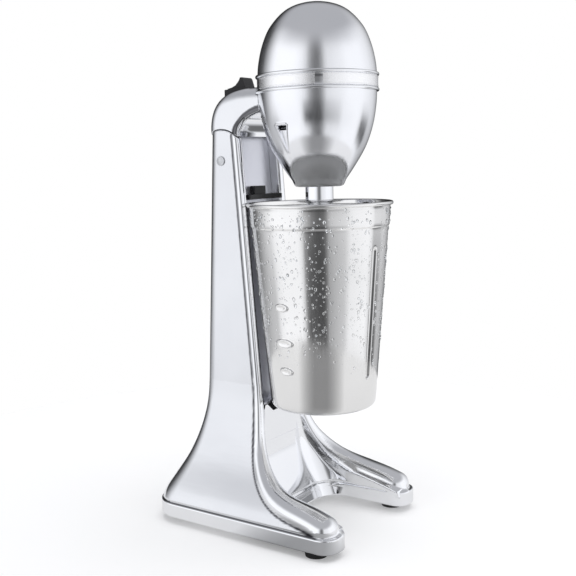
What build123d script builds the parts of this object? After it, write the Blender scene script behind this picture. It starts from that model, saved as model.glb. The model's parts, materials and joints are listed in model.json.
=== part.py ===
from build123d import *
from math import atan2, cos, radians, sin, sqrt
import os

os.makedirs("parts", exist_ok=True)

# All lengths are in mm. The parts are modelled about the cup's axis, with +Z up and the
# machine's front towards -Y, and are then moved so that the origin is the middle of the
# rectangle that the machine covers, from the cup's rim to the base's rear.
base_rear_y = 117.0
toe_front_y = -44.0
rim_bead_r = 1.35
rim_ring_r = 50.4
row_shift = Pos(0, -(base_rear_y - rim_ring_r - rim_bead_r) / 2, 0)

# Head: radius and height down the dome, and down the bowl.
dome_profile = [(0, 371), (11, 369.7), (20.5, 365.9), (28.4, 359), (33.3, 352.4), (36.4, 345.7), (38.6, 339),
                (40.1, 332.3), (41.0, 326), (41.2, 322.6)]
bowl_profile = [(41.2, 309.8), (41.0, 305), (40.3, 298.4), (39.2, 291.6), (37.5, 284.7), (35.2, 277.8),
                (32.2, 270.9), (28.2, 264), (23.7, 257), (19.0, 250.3)]
bowl_lip_chamfer = 1.2
housing_wall = 1.8
bowl_lip_r = 17.0
bowl_lip_z = 245.6
bowl_hole_r = 11.0

# Trim band between dome and bowl, and its blank label plates.
band_low_z = 309.8
band_high_z = 322.6
band_outer_r = 41.7
band_inner_r = 39.4
band_bead_r = 1.15
band_bead_inset = 1.25
plate_low_z = 312.6
plate_high_z = 319.8
plate_thickness = 0.5
plate_spans = [(-147, -33), (-217, -149), (-31, 37)]

# Vent scoops on the bowl, one each side.
vent_azimuth = 169.0
vent_top_z = 287.5
vent_mouth_height = 3.2
vent_half_width = 4.2
vent_tip_z = 269.0
vent_depth = 1.2

# Cup.
cup_bottom_z = 89.4
cup_bottom_r = 37.5
cup_corner_r = 4.0
cup_step_z = 218.0
cup_step_r = 48.2
cup_step_out = 0.7
cup_step_height = 0.9
cup_neck_r = 49.6
cup_wall = 0.9
rim_z = 233.55
flute_azimuth = -96.0
flute_low_z = 115.0
flute_high_z = 202.0
flute_r = 2.4
flute_depth = 0.9
oval_azimuth = 174.0
oval_marks = [(165.0, 5.6, 2.7), (140.0, 7.3, 3.0), (120.0, 5.6, 2.7)]
oval_height = 0.5
oval_depth = 15.0

# Column and base.
skirt_low_z = 4.7
skirt_high_z = 15.5
base_half_width = 64.0
base_rear_corner = 24.0
leg_inner_x = 39.0
toe_corner = 12.0
toe_inner_corner = 10.0
wall = 1.8
floor_gap = 0.2
front_wall_depth = 6.0
flare_sections = [(15.5, 63.0, 116.2, 23.0), (20.0, 61.6, 114.6, 22.5), (28.0, 57.0, 110.6, 21.0),
                  (38.0, 50.0, 105.0, 18.5), (47.0, 44.2, 100.6, 16.5), (57.0, 39.0, 97.0, 15.0),
                  (73.0, 32.4, 93.0, 13.0), (88.0, 28.4, 91.0, 12.0), (103.0, 27.0, 90.2, 12.0)]
column_top_section = (290.0, 27.0, 78.6, 12.0)
body_front_r = 2.0
flank_setback = 5.0
flank_lean = 0.4
front_foot_y = 21.5
front_wall_top_z = 42.0
front_wall_top_y = 38.0
front_top_y = 52.4
notch_corner = 18.0
pivot_y = 66.0
pivot_z = 265.0
column_top_r = 22.0
joint_gap = 0.6

# Front rails, from the column's top to the toes: centre x, y, z, half width, half depth.
rail_stations = [(23.9, 54.4, 282.0, 3.2, 4.2), (23.9, 41.8, 103.0, 3.2, 4.2), (25.0, 41.2, 88.0, 3.6, 4.4),
                 (28.2, 39.6, 73.0, 4.6, 5.0), (34.0, 35.8, 57.0, 6.2, 6.0), (41.0, 27.0, 43.0, 8.2, 7.4),
                 (46.6, 14.0, 32.4, 9.6, 8.0), (49.8, 0.0, 26.8, 10.6, 8.3), (50.8, -15.0, 23.2, 11.2, 8.5),
                 (51.2, -29.0, 19.6, 11.4, 8.9), (51.2, -37.0, 17.4, 10.2, 8.2),
                 (51.2, -40.8, 16.0, 7.4, 6.2), (51.2, -42.9, 15.2, 3.0, 2.6)]
leg_first_station = 5
trim_low_z = 60.0
trim_setback = 3.36

# Recess in the column's front, and the panel that lines it.
recess_half_width = 20.7
recess_low_z = 87.5
recess_back_top_y = 60.0
recess_back_low_y = 47.6
panel_thickness = 1.0
panel_gap = 0.15
lower_panel_y = 40.2
lower_panel_low_z = 44.0

# Rim guide and cup rest.
guide_low_z = 236.9
guide_high_z = 240.4
guide_lip_r = 50.2
guide_half_width = 20.3
guide_tab_half_width = 6.8
guide_tab_y = 51.6
guide_front_y = 46.4
guide_tab_z = 246.4
rest_half_width = 12.0
rest_front_y = 27.5
rest_low_z = 86.5
rest_rib_low_z = 80.5
rest_rib_inset = 3.0
rest_corner = 5.0

# Feet, base plate and screws.
foot_x = 53.5
front_foot_y_centre = -26.0
rear_foot_y = 96.0
rear_foot_x = 44.0
foot_r = 8.2
foot_base_r = 7.6
foot_spigot_r = 3.0
foot_spigot_top_z = 9.0
foot_barb = 0.6
plate_low = 4.9
plate_sheet = 1.4
plate_clearance = 1.1
screw_r = 1.5
screw_head_r = 3.0
screw_head_height = 1.2
screw_slot = (2.2, 0.4, 4.3)
screw_length = 9.0
screw_clearance = 0.1
fit_gap = 0.02
boss_r = 3.6
screw_places = [(-51.0, 8.0), (51.0, 8.0), (-30.0, 104.0), (30.0, 104.0)]
gland_z = 10.5
gland_r = 3.4
gland_flange_r = 4.15
gland_length = 4.2
gland_flange_length = 1.6

# Pivot.
pin_r = 2.5
pin_head_r = 3.5
pin_head_length = 1.0
pin_clearance = 0.05
eye_r = 4.7
neck_half_depth = 4.2
bracket_neck_line = [(61.8, 290.0), (58.4, 294.4), (53.0, 297.4), (40.0, 297.4), (40.0, 303.0), (54.0, 303.0)]
bracket_half_width = 7.0
slot_half_width = 7.6
slot_front_margin = 14.0
slot_back_margin = 21.0
slot_reach = 40.0
slot_steps = 6
slot_hub_r = 5.5
tilt_limit = 35.0
bush_outer_r = 4.6
bush_end_gap = 0.35

# Arm.
arm_centre_y = 46.0
arm_centre_z = 284.0
arm_sections = [(0.0, 8.0, 33.4, 27.0), (18.0, 8.6, 34.4, 27.0), (36.0, 9.6, 35.4, 26.6),
                (54.0, 10.0, 34.8, 25.6), (72.0, 10.2, 33.0, 24.4), (90.0, 10.2, 32.0, 23.4)]
arm_front_y = 30.0
arm_front_half_width = 22.6
arm_skirt_low_z = 270.0
arm_corner_out = 11.0
arm_corner_in = 2.5
arm_wall = 1.8
arm_low_above_pivot = 8.0
arm_screw_head_y = 35.6
arm_screw_length = 11.0

# Switch.
bezel_half_width = 7.4
bezel_front_y = 56.0
bezel_back_y = 76.0
bezel_top_z = 316.8
bezel_low_z = 303.5
terminal_length = 2.8
terminal_half_width = 2.4
terminal_half_sheet = 0.4
terminal_places = [60.0, 66.0, 72.0]
rocker_half_width = 5.8
rocker_profile = [(57.7, 316.0), (58.0, 317.6), (60.0, 323.6), (61.0, 324.8), (62.6, 324.8), (64.0, 322.4),
                  (67.0, 319.4), (71.0, 317.9), (74.3, 317.4), (74.3, 316.0)]
rocker_neck = (63.0, 69.0, 316.4)
rocker_gap = 0.2
rocker_top_z = 326.0
bezel_pocket = (56.95, 75.15, 314.3)
bezel_well = (61.6, 70.4, 306.5)
bezel_edge = 0.7
rocker_pivot_y = 66.0
rocker_pivot_z = 311.5
rocker_hub_r = 3.6
rocker_axle_r = 1.6
rocker_axle_clearance = 0.06

# Motor and drive.
shaft_r = 3.0
shaft_low_z = 232.0
shaft_high_z = 352.0
bearing_outer_r = 8.0
bearing_height = 7.0
running_gap = 0.05
lower_bearing_z = 261.0
upper_bearing_z = 343.0
seat_wall = 1.4
frame_window_r = 0.2
frame_window_place = 0.62
lower_frame_z = 268.0
upper_frame_z = 339.0
frame_sheet = 2.4
lower_frame_r = 31.0
upper_frame_r = 33.5
stator_low_z = 296.0
stator_high_z = 320.0
stator_half_x = 27.0
stator_half_y = 24.0
stator_bore_r = 17.0
stator_corner = 6.0
rotor_r = 16.4
rotor_slots = 10
rotor_slot_depth = 3.0
rotor_slot_r = 1.9
rotor_mouth_half = 0.8
rotor_winding_height = 5.0
rotor_winding_inset = 2.5
coil_centre_x = 21.0
coil_half_width = 1.5
coil_end_inset = 7.0
coil_overhang = 5.0
winding_gap = 0.1
commutator_r = 9.0
commutator_low_z = 276.0
commutator_high_z = 288.0
commutator_bars = 20
bar_cut_depth = 0.8
bar_cut_half = 0.2
brush_z = 282.0
brush_half = 2.5
brush_length = 9.0
holder_wall = 1.2
holder_length = 15.0
fan_r = 18.5
fan_low_z = 327.0
fan_sheet = 1.2
fan_blade_height = 7.0
fan_blades = 8
motor_bolt_x = 13.0
motor_bolt_y = 18.0
motor_bolt_r = 1.6
bolt_head_r = 2.8
bolt_head_height = 1.6
sleeve_r = 9.8
sleeve_low_z = 224.0
sleeve_high_z = 247.5
rod_r = 3.2
rod_high_z = 230.0
agitator_z = 104.0
agitator_r = 15.0
agitator_sheet = 2.2
agitator_hub_r = 5.0
agitator_lobe_r = 3.4
agitator_lobes = 5

far = 90.0

x_along = Plane(origin=(0, 0, 0), x_dir=(0, 1, 0), z_dir=(1, 0, 0))


def cylinder_z(x, y, low, high, radius):
    return Pos(x, y, low) * extrude(Circle(radius), high - low)


def cylinder_x(y, z, half_length, radius):
    return extrude(x_along * Pos(y, z) * Circle(radius), half_length, both=True)


def box_between(low, high):
    size = [b - a for a, b in zip(low, high)]
    middle = [(a + b) / 2 for a, b in zip(low, high)]
    return Pos(*middle) * Box(*size)


def spun(points):
    """A closed outline of (radius, height) points turned about Z."""
    return revolve(Plane.XZ * make_face(Polyline(*points, close=True)), Axis.Z)


def side_slab(points, half_width):
    """A closed outline of (y, z) points drawn out along X."""
    return extrude(x_along * make_face(Polyline(*points, close=True)), half_width, both=True)


def inset_profile(points, depth):
    """The same profile moved inwards by a wall thickness."""
    moved = []
    for i, (r, z) in enumerate(points):
        before = points[max(i - 1, 0)]
        after = points[min(i + 1, len(points) - 1)]
        slope = atan2(after[1] - before[1], after[0] - before[0])
        moved.append((max(r + depth * sin(slope), 0), z - depth * cos(slope)))
    return moved


# ---------------------------------------------------------------- head shells

def shell_of(outer_points, inner_points):
    """A turned shell between two smooth profiles that share their end heights."""
    outer = Spline(*outer_points)
    inner = Spline(*inner_points)
    first = Line(outer_points[-1], inner_points[-1])
    last = Line(inner_points[0], outer_points[0])
    return outer, first, inner, last


def upper_housing():
    inner = inset_profile(dome_profile, housing_wall)
    inner[0] = (0, dome_profile[0][1] - housing_wall)
    inner[-1] = (dome_profile[-1][0] - housing_wall, dome_profile[-1][1])
    return revolve(Plane.XZ * make_face(shell_of(dome_profile, inner)), Axis.Z)


def bowl_inner_profile():
    moved = inset_profile(bowl_profile[::-1], -housing_wall)[::-1]
    moved[0] = (bowl_profile[0][0] - housing_wall, bowl_profile[0][1])
    return moved


def bowl_outer_solid():
    edges = [Spline(*bowl_profile)]
    lip_side = (bowl_lip_r, bowl_lip_z + bowl_lip_chamfer)
    lip_end = (bowl_lip_r - bowl_lip_chamfer, bowl_lip_z)
    edges.append(Line(bowl_profile[-1], lip_side))
    edges.append(Line(lip_side, lip_end))
    edges.append(Line(lip_end, (0, bowl_lip_z)))
    edges.append(Line((0, bowl_lip_z), (0, bowl_profile[0][1])))
    edges.append(Line((0, bowl_profile[0][1]), bowl_profile[0]))
    return revolve(Plane.XZ * make_face(edges), Axis.Z)


def bowl_cavity():
    inner = bowl_inner_profile()
    edges = [Spline(*inner)]
    edges.append(Line(inner[-1], (0, inner[-1][1])))
    edges.append(Line((0, inner[-1][1]), (0, inner[0][1])))
    edges.append(Line((0, inner[0][1]), inner[0]))
    return revolve(Plane.XZ * make_face(edges), Axis.Z)


def vent_cuts():
    """The tapering groove and its mouth, made at azimuth 0."""
    reach = bowl_profile[0][0] + 10
    outline = [(-vent_half_width, vent_top_z), (vent_half_width, vent_top_z), (0, vent_tip_z)]
    wedge = extrude(Plane.YZ * make_face(Polyline(*outline, close=True)), reach)
    groove = (wedge & bowl_outer_solid()) - bowl_shrunk()
    mouth_low = (0, -vent_half_width, vent_top_z - vent_mouth_height)
    mouth = box_between(mouth_low, (reach, vent_half_width, vent_top_z))
    return groove, mouth


def bowl_shrunk():
    factor = 1 - vent_depth / bowl_profile[4][0]
    return scale(bowl_outer_solid(), by=(factor, factor, 1))


def lower_housing():
    shell = bowl_outer_solid() - bowl_cavity()
    shell -= cylinder_z(0, 0, bowl_lip_z - 1, bowl_profile[-1][1] + 5, bowl_hole_r)
    groove, mouth = vent_cuts()
    for azimuth in (vent_azimuth, 180 - vent_azimuth):
        shell -= Rot(0, 0, azimuth) * groove
        shell -= Rot(0, 0, azimuth) * mouth
    for x, z in arm_screw_places():
        shell -= screw_shank(x, z, screw_r + screw_clearance)
    return shell


def trim_band():
    ring = cylinder_z(0, 0, band_low_z, band_high_z, band_outer_r)
    ring += Pos(0, 0, band_low_z + band_bead_inset) * Torus(band_outer_r, band_bead_r)
    ring += Pos(0, 0, band_high_z - band_bead_inset) * Torus(band_outer_r, band_bead_r)
    return ring - cylinder_z(0, 0, band_low_z - 1, band_high_z + 1, band_inner_r)


def label_plates():
    """Blank plates bent round the band."""
    plates = []
    for start, end in plate_spans:
        outline = [(band_outer_r, plate_low_z), (band_outer_r + plate_thickness, plate_low_z),
                   (band_outer_r + plate_thickness, plate_high_z), (band_outer_r, plate_high_z)]
        face = Plane.XZ * make_face(Polyline(*outline, close=True))
        sector = revolve(face, Axis.Z, end - start)
        plates.append(Rot(0, 0, start) * sector)
    return Compound(children=plates)


# ---------------------------------------------------------------- cup

def cup_radius(z):
    share = (z - cup_bottom_z) / (cup_step_z - cup_bottom_z)
    return cup_bottom_r + share * (cup_step_r - cup_bottom_r)


def cup_solid(inset):
    low = cup_bottom_z + inset
    corner = cup_corner_r - inset
    start_r = cup_radius(low) - inset
    edges = [Line((0, low), (start_r - corner, low))]
    side_low = (cup_radius(low + corner) - inset, low + corner)
    step_low = (cup_step_r - inset, cup_step_z)
    step_high = (cup_step_r + cup_step_out - inset, cup_step_z + cup_step_height)
    edges.append(TangentArc((start_r - corner, low), side_low, tangent=(1, 0)))
    edges.append(Line(side_low, step_low))
    edges.append(Line(step_low, step_high))
    edges.append(Line(step_high, (cup_neck_r - inset, rim_z)))
    edges.append(Line((cup_neck_r - inset, rim_z), (0, rim_z)))
    edges.append(Line((0, rim_z), (0, low)))
    return revolve(Plane.XZ * make_face(edges), Axis.Z)


def flute_bar(extra):
    """A round bar lying along the cup's side, which sinks into it by the flute's depth."""
    bar_r = flute_r + extra
    low = (cup_radius(flute_low_z) + flute_r - flute_depth, flute_low_z)
    high = (cup_radius(flute_high_z) + flute_r - flute_depth, flute_high_z)
    start = Vector(low[0], 0, low[1])
    end = Vector(high[0], 0, high[1])
    section = Plane(origin=start, z_dir=end - start) * Circle(bar_r)
    bar = extrude(section, (end - start).length)
    bar += Pos(*start) * Sphere(bar_r)
    bar += Pos(*end) * Sphere(bar_r)
    return Rot(0, 0, flute_azimuth) * bar


def oval_bumps():
    bumps = []
    for z, half_wide, half_high in oval_marks:
        face = Plane.YZ * Ellipse(half_wide, half_high)
        pad = Pos(cup_radius(z) - oval_depth, 0, z) * extrude(face, oval_depth * 2)
        low = z - 2 * half_high
        high = z + 2 * half_high
        low_r = cup_radius(low) + oval_height
        high_r = cup_radius(high) + oval_height
        limit = spun([(0, low), (low_r, low), (high_r, high), (0, high)])
        bumps.append(Rot(0, 0, oval_azimuth) * (pad & limit))
    return bumps


def cup():
    body = cup_solid(0)
    for bump in oval_bumps():
        body += bump
    body -= flute_bar(0)
    body += Pos(0, 0, rim_z) * Torus(rim_ring_r, rim_bead_r)
    inside = cup_solid(cup_wall) - flute_bar(cup_wall)
    return body - inside - cylinder_z(0, 0, rim_z - 1, rim_z + 5, cup_neck_r - cup_wall)


# ---------------------------------------------------------------- stand

def rounded_section(z, half_width, front_y, back_y, front_r, back_r):
    """A rounded rectangle at one height, as a face."""
    w, f, b = half_width, front_y, back_y
    k = 1 - sqrt(0.5)
    edges = [Line((-w + front_r, f), (w - front_r, f))]
    edges.append(ThreePointArc((w - front_r, f), (w - front_r * k, f + front_r * k), (w, f + front_r)))
    edges.append(Line((w, f + front_r), (w, b - back_r)))
    edges.append(ThreePointArc((w, b - back_r), (w - back_r * k, b - back_r * k), (w - back_r, b)))
    edges.append(Line((w - back_r, b), (-w + back_r, b)))
    edges.append(ThreePointArc((-w + back_r, b), (-w + back_r * k, b - back_r * k), (-w, b - back_r)))
    edges.append(Line((-w, b - back_r), (-w, f + front_r)))
    edges.append(ThreePointArc((-w, f + front_r), (-w + front_r * k, f + front_r * k), (-w + front_r, f)))
    return Pos(0, 0, z) * make_face(edges)


def front_y_at(z):
    """The column's front line: a leaning foot between the legs, then a straight lean back."""
    if z < front_wall_top_z:
        share = (z - skirt_low_z) / (front_wall_top_z - skirt_low_z)
        return front_foot_y + share * (front_wall_top_y - front_foot_y)
    share = (z - front_wall_top_z) / (column_top_section[0] - front_wall_top_z)
    return front_wall_top_y + share * (front_top_y - front_wall_top_y)


def recess_back_at(z):
    share = (z - recess_low_z) / (column_top_section[0] - recess_low_z)
    return recess_back_low_y + share * (recess_back_top_y - recess_back_low_y)


def column_form(inset):
    """The column and its flare, without rails; inset makes the cavity inside the wall."""
    lower = []
    for z, half_width, back_y, corner in flare_sections:
        front = toe_front_y + flank_setback + (z - skirt_high_z) * flank_lean
        if inset > 0:
            front = front_y_at(z) + inset
        section = rounded_section(z, half_width - inset, front, back_y - inset, body_front_r, corner - inset)
        lower.append(section)
    base = lower[-1]
    top_z, top_w, top_b, top_c = column_top_section
    top_front = toe_front_y + flank_setback + (base_z() - skirt_high_z) * flank_lean
    if inset > 0:
        top_front = front_y_at(top_z) + inset
    top = rounded_section(top_z, top_w - inset, top_front, top_b - inset, body_front_r, top_c - inset)
    form = loft(lower) + loft([base, top], ruled=True)
    if inset > 0:
        return form
    return form - front_trim()


def base_z():
    return flare_sections[-1][0]


def front_trim():
    """All that lies ahead of the column's front and above the legs."""
    leg_line = [station[1:3] for station in rail_stations[leg_first_station:]]
    outline = [(-far, leg_line[-1][1])] + leg_line[::-1]
    for z in (trim_low_z, base_z(), column_top_section[0] + 1):
        outline.append((front_y_at(z) + trim_setback, z))
    outline.append((-far, column_top_section[0] + 1))
    return side_slab(outline, far)


def top_trim(radius):
    """All that lies under the column's round top."""
    keep = box_between((-far, -far, -far), (far, base_rear_y + far, pivot_z))
    return keep + cylinder_x(pivot_y, pivot_z, far, radius)


def plan_outline(inset):
    """The horseshoe plan of the skirt, drawn up through its height."""
    w = base_half_width - inset
    outer = rounded_section(skirt_low_z, w, toe_front_y + inset, base_rear_y - inset, toe_corner - inset,
                            base_rear_corner - inset)
    block = extrude(outer, skirt_high_z - skirt_low_z - inset)
    return block - notch(skirt_low_z - 1, skirt_high_z + 1, inset)


def notch(low, high, grow):
    """The gap between the legs, with rounded toes at its mouth."""
    faces = []
    half = leg_inner_x + grow
    k = 1 - sqrt(0.5)
    t = toe_inner_corner - grow
    mouth = toe_front_y + grow
    for z in (low, high):
        back = front_y_at(max(z, skirt_low_z)) + grow
        r = notch_corner
        edges = [Line((-half - t, -far), (half + t, -far))]
        edges.append(Line((half + t, -far), (half + t, mouth)))
        edges.append(ThreePointArc((half + t, mouth), (half + t * k, mouth + t * k), (half, mouth + t)))
        edges.append(Line((half, mouth + t), (half, back - r)))
        edges.append(ThreePointArc((half, back - r), (half - r * k, back - r * k), (half - r, back)))
        edges.append(Line((half - r, back), (-half + r, back)))
        edges.append(ThreePointArc((-half + r, back), (-half + r * k, back - r * k), (-half, back - r)))
        edges.append(Line((-half, back - r), (-half, mouth + t)))
        edges.append(ThreePointArc((-half, mouth + t), (-half - t * k, mouth + t * k), (-half - t, mouth)))
        edges.append(Line((-half - t, mouth), (-half - t, -far)))
        faces.append(Pos(0, 0, z) * make_face(edges))
    return loft(faces, ruled=True)


def rail_section(i):
    """An oval across the rail's path at one station."""
    centres = [Vector(x, y, z) for x, y, z, a, b in rail_stations]
    x, y, z, a, b = rail_stations[i]
    before = centres[max(i - 1, 0)]
    after = centres[min(i + 1, len(centres) - 1)]
    if i <= 1:
        before, after = centres[0], centres[1]
    along = (after - before).normalized()
    side = Vector(1, 0, 0)
    side = (side - along * side.dot(along)).normalized()
    plane = Plane(origin=centres[i], x_dir=side, z_dir=along)
    return plane * Ellipse(a, b)


def rail():
    """One front rail: straight down the column, then bending out to the toe."""
    sections = [rail_section(i) for i in range(len(rail_stations))]
    return loft(sections[:2], ruled=True) + loft(sections[1:])


def foot_places():
    return [(-foot_x, front_foot_y_centre), (foot_x, front_foot_y_centre),
            (-rear_foot_x, rear_foot_y), (rear_foot_x, rear_foot_y)]


def stand_form():
    """The outside of the casing: column, flare, skirt and rails."""
    body = column_form(0)
    body -= notch(skirt_high_z - 0.5, front_wall_top_z, 0)
    body += plan_outline(0)
    right = rail()
    body += right
    body += mirror(right, about=Plane.YZ)
    return body & top_trim(column_top_r)


def column_recess():
    """The recess that the front panel lines, and its shallower lower part."""
    top_z = column_top_section[0]
    recess = side_slab([(-far, recess_low_z), (recess_back_at(recess_low_z), recess_low_z),
                        (recess_back_at(top_z), top_z), (-far, top_z)], recess_half_width)
    lower = side_slab([(-far, lower_panel_low_z), (lower_panel_y, lower_panel_low_z),
                       (lower_panel_y, recess_low_z + 1), (-far, recess_low_z + 1)], recess_half_width)
    return recess + lower


def column_cavity():
    """The hollow inside the column and flare, kept behind the recess and the front wall."""
    z, half_width, back_y, corner = flare_sections[0]
    top_z = column_top_section[0]
    front = front_y_at(z) + wall
    throat = rounded_section(z, half_width - wall, front, back_y - wall, body_front_r, corner - wall)
    inside = column_form(wall) & top_trim(column_top_r - wall)
    inside += extrude(throat, wall * 2, dir=(0, 0, -1))
    behind = side_slab([(-far, 0), (front_y_at(0) + front_wall_depth, 0),
                        (lower_panel_y + wall, lower_panel_low_z),
                        (lower_panel_y + wall, recess_low_z - wall),
                        (recess_back_at(recess_low_z) + wall, recess_low_z - wall),
                        (recess_back_at(top_z) + wall, top_z), (-far, top_z)], far)
    return inside - behind


def stand_casing():
    body = stand_form() - column_recess() - column_cavity()
    body -= plan_outline(wall + floor_gap)
    body -= extrude(plan_face(skirt_low_z - 0.5, wall + floor_gap), 1.0, dir=(0, 0, 1))
    for x, y in screw_places:
        body += cylinder_z(x, y, plate_low + plate_sheet, skirt_high_z + 1, boss_r)
        body -= cylinder_z(x, y, plate_low, plate_low + screw_length + 1, screw_r + fit_gap)
    body -= cylinder_x(pivot_y, pivot_z, base_half_width, pin_r + fit_gap)
    body -= bracket_slot()
    return body - gland_place() * extrude(Circle(gland_r + fit_gap), 2 * gland_length, both=True)


def plan_face(z, inset):
    """The skirt's plan at one height."""
    lowest = plan_outline(inset).faces().sort_by(Axis.Z)[0]
    return Pos(0, 0, z - skirt_low_z) * lowest


def bracket_slot():
    """The slot in the column's round top and back that the arm's bracket swings in."""
    start = radians(-slot_front_margin)
    end = radians(tilt_limit + slot_back_margin)
    points = [(pivot_y, pivot_z)]
    for i in range(slot_steps + 1):
        a = start + (end - start) * i / slot_steps
        points.append((pivot_y + slot_reach * sin(a), pivot_z + slot_reach * cos(a)))
    return side_slab(points, slot_half_width) - cylinder_x(pivot_y, pivot_z, slot_half_width + 1, slot_hub_r)


def base_bottom_plate():
    plate = extrude(plan_face(plate_low, wall + plate_clearance), plate_sheet, dir=(0, 0, 1))
    for x, y in screw_places:
        plate -= cylinder_z(x, y, 0, skirt_high_z, screw_r + screw_clearance)
    for x, y in foot_places():
        plate -= cylinder_z(x, y, 0, skirt_high_z, foot_spigot_r + fit_gap)
    return plate


def rubber_feet():
    feet = []
    for x, y in foot_places():
        pad = Pos(x, y, 0) * loft([Circle(foot_base_r), Pos(0, 0, plate_low) * Circle(foot_r)])
        pad += cylinder_z(x, y, plate_low - 0.2, foot_spigot_top_z, foot_spigot_r)
        pad += cylinder_z(x, y, plate_low + plate_sheet, foot_spigot_top_z, foot_spigot_r + foot_barb)
        feet.append(pad)
    return Compound(children=feet)


def base_screws():
    screws = []
    slot_long, slot_short, slot_floor_z = screw_slot
    for x, y in screw_places:
        head = cylinder_z(x, y, plate_low - screw_head_height, plate_low, screw_head_r)
        head -= box_between((x - slot_long, y - slot_short, 0), (x + slot_long, y + slot_short, slot_floor_z))
        screws.append(head + cylinder_z(x, y, plate_low - 0.1, plate_low + screw_length, screw_r))
    return Compound(children=screws)


def front_panel():
    """Liner of the recess, with its ledge and the flush lower part."""
    g = panel_gap
    top_z = column_top_section[0]
    outline = [(recess_back_at(top_z) - g, top_z), (recess_back_at(recess_low_z) - g, recess_low_z + g),
               (lower_panel_y - g, recess_low_z + g), (lower_panel_y - g, lower_panel_low_z + g),
               (lower_panel_y - g - panel_thickness, lower_panel_low_z + g),
               (lower_panel_y - g - panel_thickness, recess_low_z + g + panel_thickness),
               (recess_back_at(recess_low_z) - g - panel_thickness, recess_low_z + g + panel_thickness),
               (recess_back_at(top_z) - g - panel_thickness, top_z)]
    panel = side_slab(outline, recess_half_width - g)
    return panel & top_trim(column_top_r - 0.4)


def rim_guide():
    back = recess_back_at(guide_low_z) - panel_gap - panel_thickness - screw_clearance
    lip = box_between((-guide_half_width, 0, guide_low_z), (guide_half_width, back, guide_high_z))
    lip -= cylinder_z(0, 0, 0, column_top_section[0], guide_lip_r)
    tab = box_between((-guide_tab_half_width, guide_tab_y, guide_low_z),
                      (guide_tab_half_width, back, guide_tab_z))
    guide = lip + tab
    return guide - box_between((-far, 0, 0), (far, guide_front_y, column_top_section[0]))


def cup_rest():
    back = lower_panel_y - panel_gap - panel_thickness
    top = cup_bottom_z - running_gap
    tongue = box_between((-rest_half_width, rest_front_y, rest_low_z), (rest_half_width, back, top))
    rib = side_slab([(rest_front_y + rest_rib_inset, rest_low_z), (back, rest_low_z), (back, rest_rib_low_z)],
                    rest_half_width - rest_rib_inset)
    tongue = fillet(tongue.edges().filter_by(Axis.Z).group_by(Axis.Y)[0], rest_corner)
    return tongue + rib


def pivot_pin():
    """A pin with a round head on each end, outside the column's sides."""
    side = column_top_section[1] + fit_gap
    heads = cylinder_x(pivot_y, pivot_z, side + pin_head_length, pin_head_r)
    heads -= cylinder_x(pivot_y, pivot_z, side, pin_head_r + 1)
    return heads + cylinder_x(pivot_y, pivot_z, side + pin_head_length / 2, pin_r)


def pivot_bushes():
    """Washers that keep the bracket central between the column's walls."""
    outer = column_top_section[1] - wall - bush_end_gap
    tube = cylinder_x(pivot_y, pivot_z, outer, bush_outer_r)
    tube -= cylinder_x(pivot_y, pivot_z, outer + 1, pin_r + pin_clearance)
    tube -= cylinder_x(pivot_y, pivot_z, bracket_half_width + bush_end_gap, bush_outer_r + 1)
    return Compound(children=tube.solids())


def gland_place():
    return Pos(0, base_rear_y, gland_z) * Rot(-90, 0, 0)


def cord_gland():
    """A plain closed grommet where the mains lead would leave."""
    body = extrude(Circle(gland_r), gland_length) + extrude(Circle(gland_flange_r), gland_flange_length)
    return gland_place() * Pos(0, 0, -gland_length) * body


# ---------------------------------------------------------------- arm

def arm_section(angle, inner, outer, half_width, inset):
    """A section of the arm on a plane that turns about the arch's centre."""
    a = radians(angle)
    radial = Vector(0, cos(a), sin(a))
    origin = Vector(0, arm_centre_y, arm_centre_z)
    plane = Plane(origin=origin, x_dir=Vector(1, 0, 0), z_dir=Vector(1, 0, 0).cross(radial))
    low = inner + inset
    high = outer - inset
    w = half_width - inset
    k = 1 - sqrt(0.5)
    ri = arm_corner_in
    ro = arm_corner_out - inset
    edges = [Line((-w + ri, low), (w - ri, low))]
    edges.append(ThreePointArc((w - ri, low), (w - ri * k, low + ri * k), (w, low + ri)))
    edges.append(Line((w, low + ri), (w, high - ro)))
    edges.append(ThreePointArc((w, high - ro), (w - ro * k, high - ro * k), (w - ro, high)))
    edges.append(Line((w - ro, high), (-w + ro, high)))
    edges.append(ThreePointArc((-w + ro, high), (-w + ro * k, high - ro * k), (-w, high - ro)))
    edges.append(Line((-w, high - ro), (-w, low + ri)))
    edges.append(ThreePointArc((-w, low + ri), (-w + ri * k, low + ri * k), (-w + ri, low)))
    return plane * make_face(edges)


def arm_form(inset):
    turned = [arm_section(*station, inset) for station in arm_sections]
    arch = loft(turned)
    skirt = extrude(turned[0], arm_centre_z - arm_skirt_low_z, dir=(0, 0, -1))
    angle, inner, outer, half_width = arm_sections[-1]
    back = arm_section(angle, inner, outer, half_width, inset)
    front = arm_section(angle, inner, outer, arm_front_half_width, inset)
    return arch + skirt + loft([back, Pos(0, arm_front_y - arm_centre_y, 0) * front], ruled=True)


def arm_casing():
    form = arm_form(0)
    hollow = arm_form(arm_wall)
    form -= cylinder_x(pivot_y, pivot_z, 60, column_top_r + joint_gap)
    casing = form - hollow
    casing -= box_between((-far, 0, 0), (far, base_rear_y, pivot_z + arm_low_above_pivot))
    casing -= bowl_outer_solid()
    casing -= cylinder_z(0, 0, band_low_z - screw_clearance, rocker_top_z, band_outer_r + band_bead_r)
    room = bezel_half_width + running_gap
    casing -= box_between((-room, bezel_front_y - running_gap, pivot_z),
                          (room, bezel_back_y + running_gap, rocker_top_z))
    return casing.solids().sort_by(SortBy.VOLUME)[-1]


def arm_screw_places():
    return [(-4.2, 300.0), (4.2, 300.0)]


def screw_shank(x, z, radius):
    return extrude(Plane(origin=(x, 20, z), z_dir=(0, 1, 0)) * Circle(radius), 34)


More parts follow.
